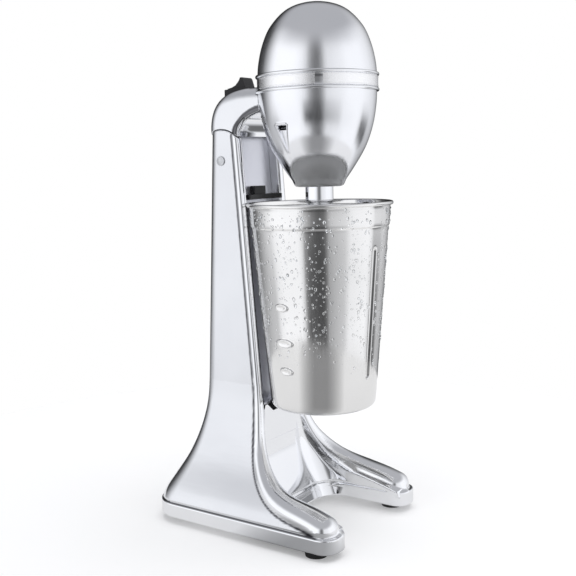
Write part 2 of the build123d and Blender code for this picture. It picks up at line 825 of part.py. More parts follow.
def arm_pivot_bracket():
    """Eye on the pin, a neck up through the slot, and a foot screwed to the bowl's back."""
    back = pivot_y + neck_half_depth
    outline = [(pivot_y - neck_half_depth, pivot_z)] + bracket_neck_line
    outline += [(back, bracket_neck_line[0][1]), (back, pivot_z)]
    neck = side_slab(outline, bracket_half_width)
    bracket = neck + cylinder_x(pivot_y, pivot_z, bracket_half_width, eye_r)
    bracket -= cylinder_x(pivot_y, pivot_z, 20, pin_r + pin_clearance)
    bracket -= bowl_outer_solid()
    for x, z in arm_screw_places():
        bracket -= screw_shank(x, z, screw_r + 0.02)
    return bracket


def arm_screws():
    screws = []
    for x, z in arm_screw_places():
        place = Plane(origin=(x, arm_screw_head_y, z), z_dir=(0, 1, 0))
        head = extrude(place * Circle(screw_head_r), screw_head_height)
        shank = extrude(place * Pos(0, 0, 1) * Circle(screw_r), arm_screw_length)
        screws.append(head + shank)
    return Compound(children=screws)


# ---------------------------------------------------------------- switch

def switch_bezel():
    body = box_between((-bezel_half_width, bezel_front_y, bezel_low_z),
                       (bezel_half_width, bezel_back_y, bezel_top_z))
    top_edges = body.edges().group_by(Axis.Z)[-1]
    body = fillet(top_edges, bezel_edge)
    room = rocker_half_width + rocker_gap
    for front, back, low in (bezel_pocket, bezel_well):
        body -= box_between((-room, front, low), (room, back, bezel_top_z + 1))
    axle_hole = bezel_half_width - 0.5
    return body - cylinder_x(rocker_pivot_y, rocker_pivot_z, axle_hole, rocker_axle_r + rocker_axle_clearance)


def switch_terminals():
    blades = []
    w = terminal_half_width
    t = terminal_half_sheet
    for y in terminal_places:
        blades.append(box_between((-w, y - t, bezel_low_z - terminal_length), (w, y + t, bezel_low_z)))
    return Compound(children=blades)


def rocker():
    hill = side_slab(rocker_profile, rocker_half_width)
    front, back, top = rocker_neck
    neck = box_between((-rocker_half_width, front, rocker_pivot_z), (rocker_half_width, back, top))
    hub = cylinder_x(rocker_pivot_y, rocker_pivot_z, rocker_half_width, rocker_hub_r)
    axle = cylinder_x(rocker_pivot_y, rocker_pivot_z, bezel_half_width - 0.7, rocker_axle_r)
    return hill + neck + hub + axle


# ---------------------------------------------------------------- motor

def motor_frame(z, radius):
    """A round sheet with a bearing cup and two windows."""
    frame = cylinder_z(0, 0, z, z + frame_sheet, radius)
    frame -= cylinder_z(0, 0, z - 1, z + frame_sheet + 1, bearing_outer_r + fit_gap)
    for angle in (0, 90, 180, 270):
        middle = radius * frame_window_place
        window = cylinder_z(middle, 0, z - 1, z + frame_sheet + 1, radius * frame_window_r)
        frame -= Rot(0, 0, angle) * window
    for x, y in motor_bolt_places():
        frame -= cylinder_z(x, y, z - 1, z + frame_sheet + 1, motor_bolt_r + screw_clearance)
    return frame


def motor_bolt_places():
    return [(-motor_bolt_x, -motor_bolt_y), (motor_bolt_x, motor_bolt_y)]


def lower_frame():
    frame = motor_frame(lower_frame_z, lower_frame_r)
    seat = cylinder_z(0, 0, lower_bearing_z - seat_wall, lower_frame_z + 0.1, bearing_outer_r + seat_wall)
    seat -= cylinder_z(0, 0, lower_bearing_z, lower_frame_z + 1, bearing_outer_r + fit_gap)
    seat -= cylinder_z(0, 0, lower_bearing_z - 5, lower_frame_z + 1, shaft_r + 1.0)
    return (frame & bowl_cavity()) + seat


def upper_frame():
    frame = motor_frame(upper_frame_z, upper_frame_r)
    bearing_top = upper_bearing_z + bearing_height
    seat = cylinder_z(0, 0, upper_frame_z + 0.1, bearing_top + seat_wall, bearing_outer_r + seat_wall)
    seat -= cylinder_z(0, 0, upper_frame_z - 1, bearing_top, bearing_outer_r + fit_gap)
    seat -= cylinder_z(0, 0, upper_frame_z - 1, bearing_top + 5, shaft_r + 1.0)
    return frame + seat


def bearing(z):
    ring = cylinder_z(0, 0, z, z + bearing_height, bearing_outer_r)
    return ring - cylinder_z(0, 0, z - 1, z + bearing_height + 1, shaft_r + running_gap)


def stator_core():
    outline = RectangleRounded(2 * stator_half_x, 2 * stator_half_y, stator_corner)
    block = extrude(Pos(0, 0, stator_low_z) * outline, stator_high_z - stator_low_z)
    block -= cylinder_z(0, 0, stator_low_z - 1, stator_high_z + 1, stator_bore_r)
    for sign in (-1, 1):
        block -= coil_block(sign, 1.0, winding_gap)
    for x, y in motor_bolt_places():
        block -= cylinder_z(x, y, stator_low_z - 1, stator_high_z + 1, motor_bolt_r + screw_clearance)
    return block


def field_coils():
    """A winding round each pole, drawn as a plain block."""
    return Compound(children=[coil_block(sign, coil_overhang, 0) for sign in (-1, 1)])


def coil_block(sign, overhang, gap):
    """The room of one winding, which stands out above and below the core."""
    x = sign * coil_centre_x
    w = coil_half_width + gap
    y = stator_half_y - coil_end_inset + gap
    return box_between((x - w, -y, stator_low_z - overhang), (x + w, y, stator_high_z + overhang))


def field_posts():
    """Spacers on the through bolts, between core and frames."""
    posts = []
    for x, y in motor_bolt_places():
        for low, high in ((lower_frame_z + frame_sheet, stator_low_z), (stator_high_z, upper_frame_z)):
            tube = cylinder_z(x, y, low, high, motor_bolt_r + 1.4)
            posts.append(tube - cylinder_z(x, y, low - 1, high + 1, motor_bolt_r + 0.1))
    return Compound(children=posts)


def motor_bolts():
    bolts = []
    for x, y in motor_bolt_places():
        head_z = upper_frame_z + frame_sheet
        shank = cylinder_z(x, y, lower_frame_z - 1.5, head_z + 1, motor_bolt_r)
        bolts.append(shank + cylinder_z(x, y, head_z, head_z + bolt_head_height, bolt_head_r))
    return Compound(children=bolts)


def brush_holders():
    holders = []
    for sign in (-1, 1):
        near = commutator_r + 2.0
        far = near + holder_length
        side = brush_half + holder_wall
        ends = sorted([sign * near, sign * far])
        tube = box_between((ends[0], -side, brush_z - side), (ends[1], side, brush_z + side))
        tube -= box_between((ends[0] - 1, -brush_half - 0.05, brush_z - brush_half - 0.05),
                            (ends[1] + 1, brush_half + 0.05, brush_z + brush_half + 0.05))
        leg = box_between((sign * (near + 8) - 3, -2, lower_frame_z + frame_sheet),
                          (sign * (near + 8) + 3, 2, brush_z - side))
        holders.append(tube + leg)
    return Compound(children=holders)


def carbon_brushes():
    brushes = []
    for sign in (-1, 1):
        near = commutator_r + running_gap
        ends = sorted([sign * near, sign * (near + brush_length)])
        brush = box_between((ends[0], -brush_half, brush_z - brush_half),
                            (ends[1], brush_half, brush_z + brush_half))
        brush -= cylinder_z(0, 0, commutator_low_z, commutator_high_z, commutator_r + running_gap)
        brushes.append(brush)
    return Compound(children=brushes)


# ---------------------------------------------------------------- drive

def motor_shaft():
    return cylinder_z(0, 0, shaft_low_z, shaft_high_z, shaft_r)


def rotor_core():
    core = cylinder_z(0, 0, stator_low_z, stator_high_z, rotor_r)
    slot_x = rotor_r - rotor_slot_depth
    for i in range(rotor_slots):
        slot = cylinder_z(slot_x, 0, stator_low_z - 1, stator_high_z + 1, rotor_slot_r)
        slot += box_between((slot_x, -rotor_mouth_half, stator_low_z - 1),
                            (rotor_r + 1, rotor_mouth_half, stator_high_z + 1))
        core -= Rot(0, 0, i * 360 / rotor_slots) * slot
    return core - cylinder_z(0, 0, stator_low_z - 1, stator_high_z + 1, shaft_r)


def rotor_windings():
    """End turns of the rotor winding, above and below the core."""
    rings = []
    for low in (stator_low_z - rotor_winding_height, stator_high_z):
        high = low + rotor_winding_height
        ring = cylinder_z(0, 0, low, high, rotor_r - rotor_winding_inset)
        rings.append(ring - cylinder_z(0, 0, low - 1, high + 1, shaft_r + 2))
    return Compound(children=rings)


def commutator():
    drum = cylinder_z(0, 0, commutator_low_z, commutator_high_z, commutator_r)
    drum -= cylinder_z(0, 0, commutator_low_z - 1, commutator_high_z + 1, shaft_r)
    for i in range(commutator_bars):
        cut = box_between((commutator_r - bar_cut_depth, -bar_cut_half, commutator_low_z + 1),
                          (commutator_r + 1, bar_cut_half, commutator_high_z - 1))
        drum -= Rot(0, 0, i * 360 / commutator_bars) * cut
    return drum


def cooling_fan():
    fan = cylinder_z(0, 0, fan_low_z, fan_low_z + fan_sheet, fan_r)
    fan += cylinder_z(0, 0, fan_low_z, fan_low_z + fan_blade_height, shaft_r + 3)
    for i in range(fan_blades):
        blade = box_between((shaft_r + 2.5, -0.6, fan_low_z), (fan_r - 1, 0.6, fan_low_z + fan_blade_height))
        fan += Rot(0, 0, i * 360 / fan_blades) * blade
    return fan - cylinder_z(0, 0, fan_low_z - 1, fan_low_z + fan_blade_height + 1, shaft_r)


def spindle_sleeve():
    sleeve = cylinder_z(0, 0, sleeve_low_z, sleeve_high_z, sleeve_r)
    sleeve = chamfer(sleeve.edges(), 0.8)
    sleeve -= cylinder_z(0, 0, rod_high_z, sleeve_high_z + 1, shaft_r)
    sleeve -= cylinder_z(0, 0, sleeve_low_z - 1, rod_high_z, rod_r)
    return sleeve


def spindle_rod():
    return cylinder_z(0, 0, agitator_z - 2.0, rod_high_z, rod_r)


def agitator():
    """A thin disc with raised lobes and a hub on the rod's end."""
    disc = cylinder_z(0, 0, agitator_z, agitator_z + agitator_sheet, agitator_r)
    for i in range(agitator_lobes):
        lobe = Pos(agitator_r * 0.62, 0, agitator_z + agitator_sheet / 2) * Sphere(agitator_lobe_r)
        disc += Rot(0, 0, i * 360 / agitator_lobes) * lobe
    disc += cylinder_z(0, 0, agitator_z - 2.0, agitator_z + 5.0, agitator_hub_r)
    return disc - cylinder_z(0, 0, agitator_z - 5, agitator_z + 10, rod_r)


# ---------------------------------------------------------------- output

pieces = {
    "stand_casing": stand_casing,
    "base_bottom_plate": base_bottom_plate,
    "rubber_feet": rubber_feet,
    "base_screws": base_screws,
    "front_panel": front_panel,
    "rim_guide": rim_guide,
    "cup_rest": cup_rest,
    "pivot_pin": pivot_pin,
    "pivot_bushes": pivot_bushes,
    "cord_gland": cord_gland,
    "arm_casing": arm_casing,
    "arm_pivot_bracket": arm_pivot_bracket,
    "arm_screws": arm_screws,
    "upper_housing": upper_housing,
    "lower_housing": lower_housing,
    "trim_band": trim_band,
    "label_plates": label_plates,
    "switch_bezel": switch_bezel,
    "switch_terminals": switch_terminals,
    "rocker": rocker,
    "upper_motor_frame": upper_frame,
    "lower_motor_frame": lower_frame,
    "upper_bearing": lambda: bearing(upper_bearing_z),
    "lower_bearing": lambda: bearing(lower_bearing_z),
    "stator_core": stator_core,
    "field_coils": field_coils,
    "motor_spacers": field_posts,
    "motor_bolts": motor_bolts,
    "brush_holders": brush_holders,
    "carbon_brushes": carbon_brushes,
    "motor_shaft": motor_shaft,
    "rotor_core": rotor_core,
    "rotor_windings": rotor_windings,
    "commutator": commutator,
    "cooling_fan": cooling_fan,
    "spindle_sleeve": spindle_sleeve,
    "spindle_rod": spindle_rod,
    "agitator": agitator,
    "cup": cup,
}

for name, make in pieces.items():
    export_step(row_shift * make(), "parts/" + name + ".step")
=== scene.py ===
import json
import math

import bpy
import numpy as np
from mathutils import Matrix, Vector

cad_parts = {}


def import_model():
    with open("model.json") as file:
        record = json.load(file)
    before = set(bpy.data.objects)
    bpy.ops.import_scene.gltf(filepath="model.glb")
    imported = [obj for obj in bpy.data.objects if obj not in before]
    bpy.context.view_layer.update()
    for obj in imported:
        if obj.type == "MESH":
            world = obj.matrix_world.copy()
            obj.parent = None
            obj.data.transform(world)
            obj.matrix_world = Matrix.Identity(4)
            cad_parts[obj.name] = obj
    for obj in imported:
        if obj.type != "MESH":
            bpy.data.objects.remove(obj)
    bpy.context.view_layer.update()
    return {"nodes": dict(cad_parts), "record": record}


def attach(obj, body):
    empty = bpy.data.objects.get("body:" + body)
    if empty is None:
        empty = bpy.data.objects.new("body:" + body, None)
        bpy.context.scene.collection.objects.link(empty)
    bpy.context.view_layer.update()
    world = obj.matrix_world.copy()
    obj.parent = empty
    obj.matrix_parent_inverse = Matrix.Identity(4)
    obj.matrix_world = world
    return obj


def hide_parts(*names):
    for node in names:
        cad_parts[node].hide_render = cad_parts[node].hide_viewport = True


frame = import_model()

# Lengths are in mm about the cup's axis unless a line says otherwise. The frame's origin
# is the middle of the machine's plan, so Y shifts by this much.
ROW_SHIFT = -32.625
MM = 0.001

# The head's outlines, radius and height.
DOME = [(0, 371), (11, 369.7), (20.5, 365.9), (28.4, 359), (33.3, 352.4), (36.4, 345.7), (38.6, 339),
        (40.1, 332.3), (41.0, 326), (41.2, 322.6)]
BOWL = [(41.2, 309.8), (41.0, 305), (40.3, 298.4), (39.2, 291.6), (37.5, 284.7), (35.2, 277.8),
        (32.2, 270.9), (28.2, 264), (23.7, 257), (19.0, 250.3)]
HEAD_SHEET = 1.7
# On the head and cup, azimuths are in degrees from the machine's left, front at -90.
BAND_LOW, BAND_HIGH, BAND_R, BAND_BEAD = 309.8, 322.6, 41.7, 1.15
PLATE_LOW, PLATE_HIGH = 312.6, 319.8
PLATE_SPANS = [(-142, -33), (-217, -149.5), (-28, 37)]
VENT_AZIMUTHS = (172.5, 7.5)
VENT_TOP, VENT_TIP, VENT_HALF, VENT_R = 287.2, 268.6, 4.2, 38.0
CUP_LOW, CUP_LOW_R, CUP_STEP, CUP_STEP_R, CUP_RIM = 89.4, 37.5, 218.0, 48.2, 233.55
CUP_SHEET, CUP_FLOOR_R = 0.9, 33.7
RIM_R, RIM_BEAD = 50.4, 1.35
FLUTE_AZIMUTH, FLUTE_LOW, FLUTE_HIGH, FLUTE_HALF, FLUTE_DEPTH = -96.0, 115.0, 202.0, 2.6, 1.9
OVAL_AZIMUTH, OVAL_RISE, OVAL_DISH = 174.0, 1.0, 0.6
# Height, half width and half height of each oval.
OVALS = [(165.0, 5.6, 2.7), (140.0, 7.3, 3.0), (120.0, 5.6, 2.7)]
DROP_COUNT, DROP_SEED, DROP_LOW, DROP_HIGH = 2600, 28, 117, 231
DROP_SMALL, DROP_SPREAD, DROP_RISE = 0.30, 0.85, 0.62


# ---------------------------------------------------------------- mesh tools

def to_row(points):
    """Points in mm about the cup's axis, to metres in the row frame."""
    p = np.asarray(points, float).reshape(-1, 3).copy()
    p[:, 1] += ROW_SHIFT
    return p * MM


def make_mesh(name, verts, faces, body, material, replaced=(), sharp=None):
    """A smooth-shaded piece on its body; edges over the sharp angle, in degrees, stay crisp."""
    mesh = bpy.data.meshes.new(name)
    mesh.from_pydata([tuple(v) for v in to_row(verts)], [], [tuple(f) for f in faces])
    mesh.validate()
    mesh.update()
    obj = bpy.data.objects.new(name, mesh)
    bpy.context.scene.collection.objects.link(obj)
    mesh.polygons.foreach_set("use_smooth", [True] * len(mesh.polygons))
    if sharp is not None:
        mesh.set_sharp_from_angle(angle=math.radians(sharp))
    mesh.materials.append(material)
    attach(obj, body)
    if replaced:
        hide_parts(*replaced)
    return obj


def spline(points, count):
    """A natural cubic curve through the points, sampled evenly along its chords."""
    p = np.asarray(points, float)
    t = np.concatenate([[0], np.cumsum(np.linalg.norm(np.diff(p, axis=0), axis=1))])
    n = len(t)
    h = np.diff(t)
    a = np.zeros((n, n))
    a[0, 0] = a[-1, -1] = 1
    rhs = np.zeros((n, p.shape[1]))
    for i in range(1, n - 1):
        a[i, i - 1:i + 2] = h[i - 1], 2 * (h[i - 1] + h[i]), h[i]
        rhs[i] = 6 * ((p[i + 1] - p[i]) / h[i] - (p[i] - p[i - 1]) / h[i - 1])
    m = np.linalg.solve(a, rhs)
    s = np.linspace(0, t[-1], count)
    k = np.clip(np.searchsorted(t, s, side="right") - 1, 0, n - 2)
    u = (s - t[k])[:, None]
    hk = h[k][:, None]
    v = hk - u
    return (m[k] * v ** 3 + m[k + 1] * u ** 3) / (6 * hk) + (p[k] / hk - m[k] * hk / 6) * v \
        + (p[k + 1] / hk - m[k + 1] * hk / 6) * u


def tube_faces(base, rows, cols):
    """The quads between rows of points that each close into a ring."""
    faces = []
    for i in range(rows - 1):
        for j in range(cols):
            low, high, k = base + i * cols, base + (i + 1) * cols, (j + 1) % cols
            faces.append((high + j, high + k, low + k, low + j))
    return faces


def turned(profile, azimuths, shift=None):
    """A closed (r, z) outline turned about the axis; rows at r = 0 become one point."""
    verts, rows = [], []
    for r, z in profile:
        if r < 1e-6:
            rows.append([len(verts)])
            verts.append((0.0, 0.0, z))
            continue
        rows.append(list(range(len(verts), len(verts) + len(azimuths))))
        for a in azimuths:
            verts.append((r * math.cos(a), r * math.sin(a), z))
    faces = []
    count = len(azimuths)
    for low, high in zip(rows, rows[1:] + rows[:1]):
        if len(low) == 1 and len(high) == 1:
            continue
        for j in range(count):
            k = (j + 1) % count
            ring = [low[0]] if len(low) == 1 else [low[j], low[k]]
            ring += [high[0]] if len(high) == 1 else [high[k], high[j]]
            faces.append(ring)
    verts = np.array(verts)
    return (verts if shift is None else shift(verts)), faces


def even(count):
    """Azimuths in radians, evenly round the axis."""
    return [2 * math.pi * i / count for i in range(count)]


def dense_near(centres, width, fine, coarse):
    """Azimuths in radians, close together near the centres, in degrees."""
    out, a = [], 0.0
    while a < 360.0 - 1e-6:
        out.append(math.radians(a))
        near = min(abs((a - c + 180) % 360 - 180) for c in centres)
        a += fine if near < width else coarse
    return out


def smooth01(x):
    """A smooth step from 0 at x = 0 to 1 at x = 1."""
    x = np.clip(x, 0, 1)
    return x * x * (3 - 2 * x)


def arc(centre, radius, start, end, count):
    turns = np.radians(np.linspace(start, end, count))
    return [(centre[0] + radius * math.cos(a), centre[1] + radius * math.sin(a)) for a in turns]


# ---------------------------------------------------------------- materials

def nodes_of(name):
    """A new node material, its nodes and links, and its shader."""
    m = bpy.data.materials.new(name)
    m.use_nodes = True
    return m, m.node_tree.nodes, m.node_tree.links, m.node_tree.nodes["Principled BSDF"]


def coordinates(nodes, links, stretch=(1, 1, 1)):
    co = nodes.new("ShaderNodeTexCoord")
    mapping = nodes.new("ShaderNodeMapping")
    mapping.inputs["Scale"].default_value = stretch
    links.new(co.outputs["Object"], mapping.inputs["Vector"])
    return mapping.outputs["Vector"]


def noise(nodes, links, vector, scale, detail=3.0, rough=0.5):
    n = nodes.new("ShaderNodeTexNoise")
    n.inputs["Scale"].default_value = scale
    n.inputs["Detail"].default_value = detail
    n.inputs["Roughness"].default_value = rough
    links.new(vector, n.inputs["Vector"])
    return n.outputs["Fac"]


def ramp(nodes, links, fac, low, high, start=0.3, end=0.7):
    """A blend from low to high, each a grey level or a colour."""
    r = nodes.new("ShaderNodeValToRGB")
    for element, place, tone in zip(r.color_ramp.elements, (start, end), (low, high)):
        element.position = place
        element.color = (*tone, 1) if isinstance(tone, tuple) else (tone, tone, tone, 1)
    links.new(fac, r.inputs["Fac"])
    return r.outputs["Color"]


def colour_mix(nodes, links, factor, a, b):
    """A blend of two colours, each an output or a fixed colour."""
    mix = nodes.new("ShaderNodeMix")
    mix.data_type = "RGBA"
    links.new(factor, mix.inputs["Factor"])
    for name, value in (("A", a), ("B", b)):
        if isinstance(value, tuple):
            mix.inputs[name].default_value = value
        else:
            links.new(value, mix.inputs[name])
    return mix.outputs["Result"]


def bump(nodes, links, height, strength, distance, shader):
    b = nodes.new("ShaderNodeBump")
    b.inputs["Strength"].default_value = strength
    b.inputs["Distance"].default_value = distance
    links.new(height, b.inputs["Height"])
    links.new(b.outputs["Normal"], shader.inputs["Normal"])


def metal(name, low, high, rough, stretch=(1, 1, 1), scale=220.0, spread=0.35, bump_mm=0.0, metallic=1.0):
    """Metal whose tone and roughness vary along its grain."""
    m, nodes, links, shader = nodes_of(name)
    shader.inputs["Metallic"].default_value = metallic
    vector = coordinates(nodes, links, stretch)
    grain = noise(nodes, links, vector, scale, 4.0, 0.6)
    broad = noise(nodes, links, coordinates(nodes, links), 14.0, 2.0, 0.5)
    links.new(ramp(nodes, links, broad, low, high), shader.inputs["Base Color"])
    sheen = ramp(nodes, links, grain, rough * (1 - spread), rough * (1 + spread))
    links.new(sheen, shader.inputs["Roughness"])
    if bump_mm:
        bump(nodes, links, grain, 0.6, bump_mm * MM, shader)
    return m


def plastic(name, low, high, rough, scale=900.0, bump_mm=0.03, specular=0.5):
    m, nodes, links, shader = nodes_of(name)
    shader.inputs["Specular IOR Level"].default_value = specular
    vector = coordinates(nodes, links)
    fine = noise(nodes, links, vector, scale, 3.0, 0.6)
    broad = noise(nodes, links, vector, 24.0, 2.0, 0.5)
    links.new(ramp(nodes, links, broad, low, high), shader.inputs["Base Color"])
    links.new(ramp(nodes, links, fine, rough * 0.85, rough * 1.15), shader.inputs["Roughness"])
    bump(nodes, links, fine, 0.35, bump_mm * MM, shader)
    return m


def water(name):
    m, nodes, links, shader = nodes_of(name)
    shader.inputs["Transmission Weight"].default_value = 1.0
    shader.inputs["IOR"].default_value = 1.33
    vector = coordinates(nodes, links)
    tint = noise(nodes, links, vector, 60.0, 1.0, 0.5)
    clear = ramp(nodes, links, tint, (0.93, 0.95, 0.97), (1.0, 1.0, 1.0))
    links.new(clear, shader.inputs["Base Color"])
    links.new(ramp(nodes, links, tint, 0.0, 0.05), shader.inputs["Roughness"])
    return m


# A stretch below 1 draws a grain out along that axis, and one above 1 packs it.
ALONG_Z = (1, 1, 0.04)
CHROME_TONES = (0.87, 0.88, 0.905), (0.93, 0.935, 0.95)
CHROME = metal("polished_chrome", *CHROME_TONES, 0.055, scale=160.0)
HEAD_SATIN = metal("head_satin", (0.86, 0.87, 0.90), (0.92, 0.925, 0.945), 0.15, ALONG_Z, 900.0, 0.3, 0.004)
FLANK = metal("satin_chrome", (0.84, 0.85, 0.88), (0.90, 0.905, 0.93), 0.22, (1, 0.05, 0.05), 700.0, 0.25,
              0.004)
CUP_STEEL = metal("cup_steel", (0.80, 0.795, 0.785), (0.91, 0.905, 0.895), 0.10, (1, 1, 0.03), 1100.0, 0.5,
                  0.012)
INSIDE = metal("cup_inside", (0.80, 0.80, 0.79), (0.88, 0.88, 0.87), 0.5, (1, 1, 0.05), 900.0, 0.3, 0.01, 0.3)
PLATE = metal("label_metal", (0.93, 0.93, 0.94), (0.97, 0.97, 0.975), 0.3, (1, 1, 8), 400.0, 0.3, 0.004)
ZINC = metal("zinc_steel", (0.55, 0.56, 0.58), (0.68, 0.69, 0.70), 0.32, scale=300.0, bump_mm=0.01)
CORE = metal("core_steel", (0.28, 0.28, 0.29), (0.40, 0.40, 0.41), 0.45, (1, 1, 30), 200.0, 0.3, 0.02)
COPPER = metal("winding_copper", (0.62, 0.27, 0.13), (0.78, 0.38, 0.20), 0.35, (1, 1, 10), 500.0, 0.3, 0.05)
BRONZE = metal("bronze", (0.50, 0.36, 0.20), (0.62, 0.47, 0.28), 0.35, scale=260.0, bump_mm=0.01)
PANEL = metal("pale_panel", (0.80, 0.81, 0.88), (0.85, 0.86, 0.92), 0.33, scale=700.0, spread=0.15,
              bump_mm=0.002, metallic=0.8)
BLACK = plastic("black_plastic", (0.012, 0.012, 0.013), (0.022, 0.022, 0.024), 0.34, specular=0.22)
RUBBER = plastic("foot_rubber", (0.012, 0.012, 0.012), (0.03, 0.03, 0.03), 0.7, 500.0, 0.08)
CARBON = plastic("carbon", (0.02, 0.02, 0.02), (0.05, 0.05, 0.05), 0.6, 500.0, 0.05)
BOARD = plastic("brown_board", (0.25, 0.15, 0.08), (0.33, 0.21, 0.12), 0.6, 300.0, 0.05)
WATER = water("condensation")


def stand_metal():
    """Polished chrome, satin where the mesh's satin value is high, and near black where its groove-shade
    value is high: painted shade in the grooves.
    """
    m, nodes, links, shader = nodes_of("stand_chrome")
    shader.inputs["Metallic"].default_value = 1.0
    value = {}
    for name in ("satin", "painted_groove_shade"):
        attribute = nodes.new("ShaderNodeAttribute")
        attribute.attribute_name = name
        value[name] = attribute.outputs["Fac"]
    vector = coordinates(nodes, links, (1, 0.06, 0.06))
    grain = noise(nodes, links, vector, 700.0, 4.0, 0.6)
    broad = noise(nodes, links, coordinates(nodes, links), 12.0, 2.0, 0.5)
    bright = ramp(nodes, links, broad, *CHROME_TONES)
    soft = ramp(nodes, links, broad, (0.73, 0.74, 0.765), (0.80, 0.81, 0.83))
    # Near black that the groove-shade value blends in: painted shade along the grooves, not a colour of the
    # chrome.
    painted_shade_tone = ramp(nodes, links, grain, (0.03, 0.03, 0.035), (0.07, 0.07, 0.08))
    tone = colour_mix(nodes, links, value["satin"], bright, soft)
    links.new(colour_mix(nodes, links, value["painted_groove_shade"], tone, painted_shade_tone), shader.inputs["Base Color"])
    rough = nodes.new("ShaderNodeMix")
    links.new(value["satin"], rough.inputs["Factor"])
    links.new(ramp(nodes, links, broad, 0.045, 0.065), rough.inputs["A"])
    links.new(ramp(nodes, links, grain, 0.17, 0.27), rough.inputs["B"])
    links.new(rough.outputs["Result"], shader.inputs["Roughness"])
    return m


STAND = stand_metal()
SLOTS = {"polished_chrome": CHROME, "satin_chrome": FLANK, "cup_steel": CUP_STEEL, "pale_panel": PANEL,
         "black_plastic": BLACK, "foot_rubber": RUBBER, "zinc_steel": ZINC, "core_steel": CORE,
         "winding_copper": COPPER, "bronze": BRONZE, "carbon": CARBON, "label_metal": PLATE,
         "brown_board": BOARD}


def finish_cad_nodes():
    """Each carried-over CAD node gets the finish of its slot in the record."""
    slot_of = {entry["node"]: entry["material_slot"] for entry in frame["record"]["subparts"]}
    for name, obj in frame["nodes"].items():
        material = SLOTS.get(slot_of.get(name), CHROME)
        obj.data.materials.clear()
        obj.data.materials.append(material)
        for polygon in obj.data.polygons:
            polygon.material_index = 0


# ---------------------------------------------------------------- head

def vent_shift(verts):
    """Sinks the two scoops: a deep mouth under a raised hood, and a groove that tapers to a point."""
    radius = np.hypot(verts[:, 0], verts[:, 1])
    angle = np.degrees(np.arctan2(verts[:, 1], verts[:, 0]))
    z = verts[:, 2]
    move = np.zeros(len(verts))
    for azimuth in VENT_AZIMUTHS:
        across = np.radians((angle - azimuth + 180) % 360 - 180) * VENT_R
        down = (VENT_TOP - z) / (VENT_TOP - VENT_TIP)
        taper = 1 - np.clip(down, 0, 1)
        half = VENT_HALF * (0.07 + 0.93 * taper)
        side = smooth01((half - np.abs(across)) / 0.45 + 0.5)
        inside = smooth01((VENT_TOP - z) / 0.5) * smooth01(z - VENT_TIP + 0.2) * side
        groove = 2.0 * taper ** 0.7 + 0.35
        mouth = 2.6 * smooth01((down + 0.02) / 0.02) * smooth01((0.17 - down) / 0.04)
        rib = 3.2 * smooth01(1 - np.abs(down - 0.095) / 0.05)
        rib = rib * smooth01((half - 1.0 - np.abs(across)) / 0.5)
        move -= inside * (groove + mouth - rib)
        hood = np.exp(-((z - VENT_TOP - 0.9) / 0.75) ** 2) * smooth01(5.1 - np.abs(across))
        lips = np.exp(-((np.abs(across) - half - 0.75) / 0.55) ** 2)
        lips = lips * smooth01((z - VENT_TIP + 1.1) / 2.0) * smooth01((VENT_TOP + 1.2 - z) / 0.8)
        move += 0.75 * hood + 0.5 * lips * (0.45 + 0.55 * taper)
    near = radius > 1.0
    factor = np.ones(len(verts))
    factor[near] = 1 + move[near] / radius[near]
    verts[:, 0] *= factor
    verts[:, 1] *= factor
    return verts


def resample(points, heights):
    """The (r, z) outline's points at the given heights."""
    p = np.asarray(points)
    order = np.argsort(p[:, 1])
    return [(float(np.interp(z, p[order, 1], p[order, 0])), float(z)) for z in heights]


def dome_piece():
    """The dome as a shell; its curve is mirrored first, so that the top is level."""
    mirrored = [(-r, z) for r, z in DOME[:0:-1]] + DOME
    curve = spline(mirrored, 241)[120:]
    curve[0] = DOME[0]
    inner = [(max(r - HEAD_SHEET, 0.0), z - HEAD_SHEET * (1 - r / 45.0)) for r, z in curve[::-4]]
    inner[-1] = (0, 369.2)
    verts, faces = turned([tuple(p) for p in curve] + inner, even(192))
    make_mesh("head_dome", verts, faces, "head", HEAD_SATIN, ["upper_housing"], 40)


def bowl_piece():
    """The bowl with its lip, its hollow back and the two vents; the deep faces of their mouths take the black
    material, as painted shade in the openings.
    """
    fine = spline(BOWL, 400)
    heights = [np.arange(309.8, 290, -1.0), np.arange(290, 266, -0.22), np.arange(266, 250.6, -0.8)]
    outer = resample(fine, np.concatenate(heights))
    lip = [(18.9, 250.0), (18.2, 248.4), (17.6, 247.2), (17.0, 246.4), (16.2, 245.85), (15.2, 245.6),
           (12.0, 245.6), (11.0, 246.0), (11.0, 249.0)]
    back = [(17.0, 252.2), (21.5, 258.0), (26.0, 265.0), (27.0, 268.0), (30.5, 277.8), (32.0, 287.0),
            (33.0, 290.5), (37.5, 296.0), (38.9, 303.0), (39.3, 309.8)]
    azimuths = dense_near(VENT_AZIMUTHS, 9.0, 0.32, 2.0)
    front = len(outer) * len(azimuths)

    def sink_front(verts):
        verts[:front] = vent_shift(verts[:front].copy())
        return verts

    verts, faces = turned(outer + lip + back, azimuths, sink_front)
    bowl = make_mesh("head_bowl", verts, faces, "head", HEAD_SATIN, ["lower_housing"], 50)
    bowl.data.materials.append(BLACK)
    place = np.array([p.center for p in bowl.data.polygons]) / MM
    radii, levels = np.array(resample(fine, np.arange(251.0, 309.0))).T
    depth = np.interp(place[:, 2], levels, radii) - np.hypot(place[:, 0], place[:, 1] - ROW_SHIFT)
    # Painted shade: the vents' faces deeper than 2.6 mm take the black, standing in for the dark inside of
    # the openings.
    mouth = (depth > 2.6) & (np.abs(place[:, 2] - 285.3) < 1.7) & (np.arange(len(place)) < front)
    bowl.data.polygons.foreach_set("material_index", mouth.astype(np.int32))


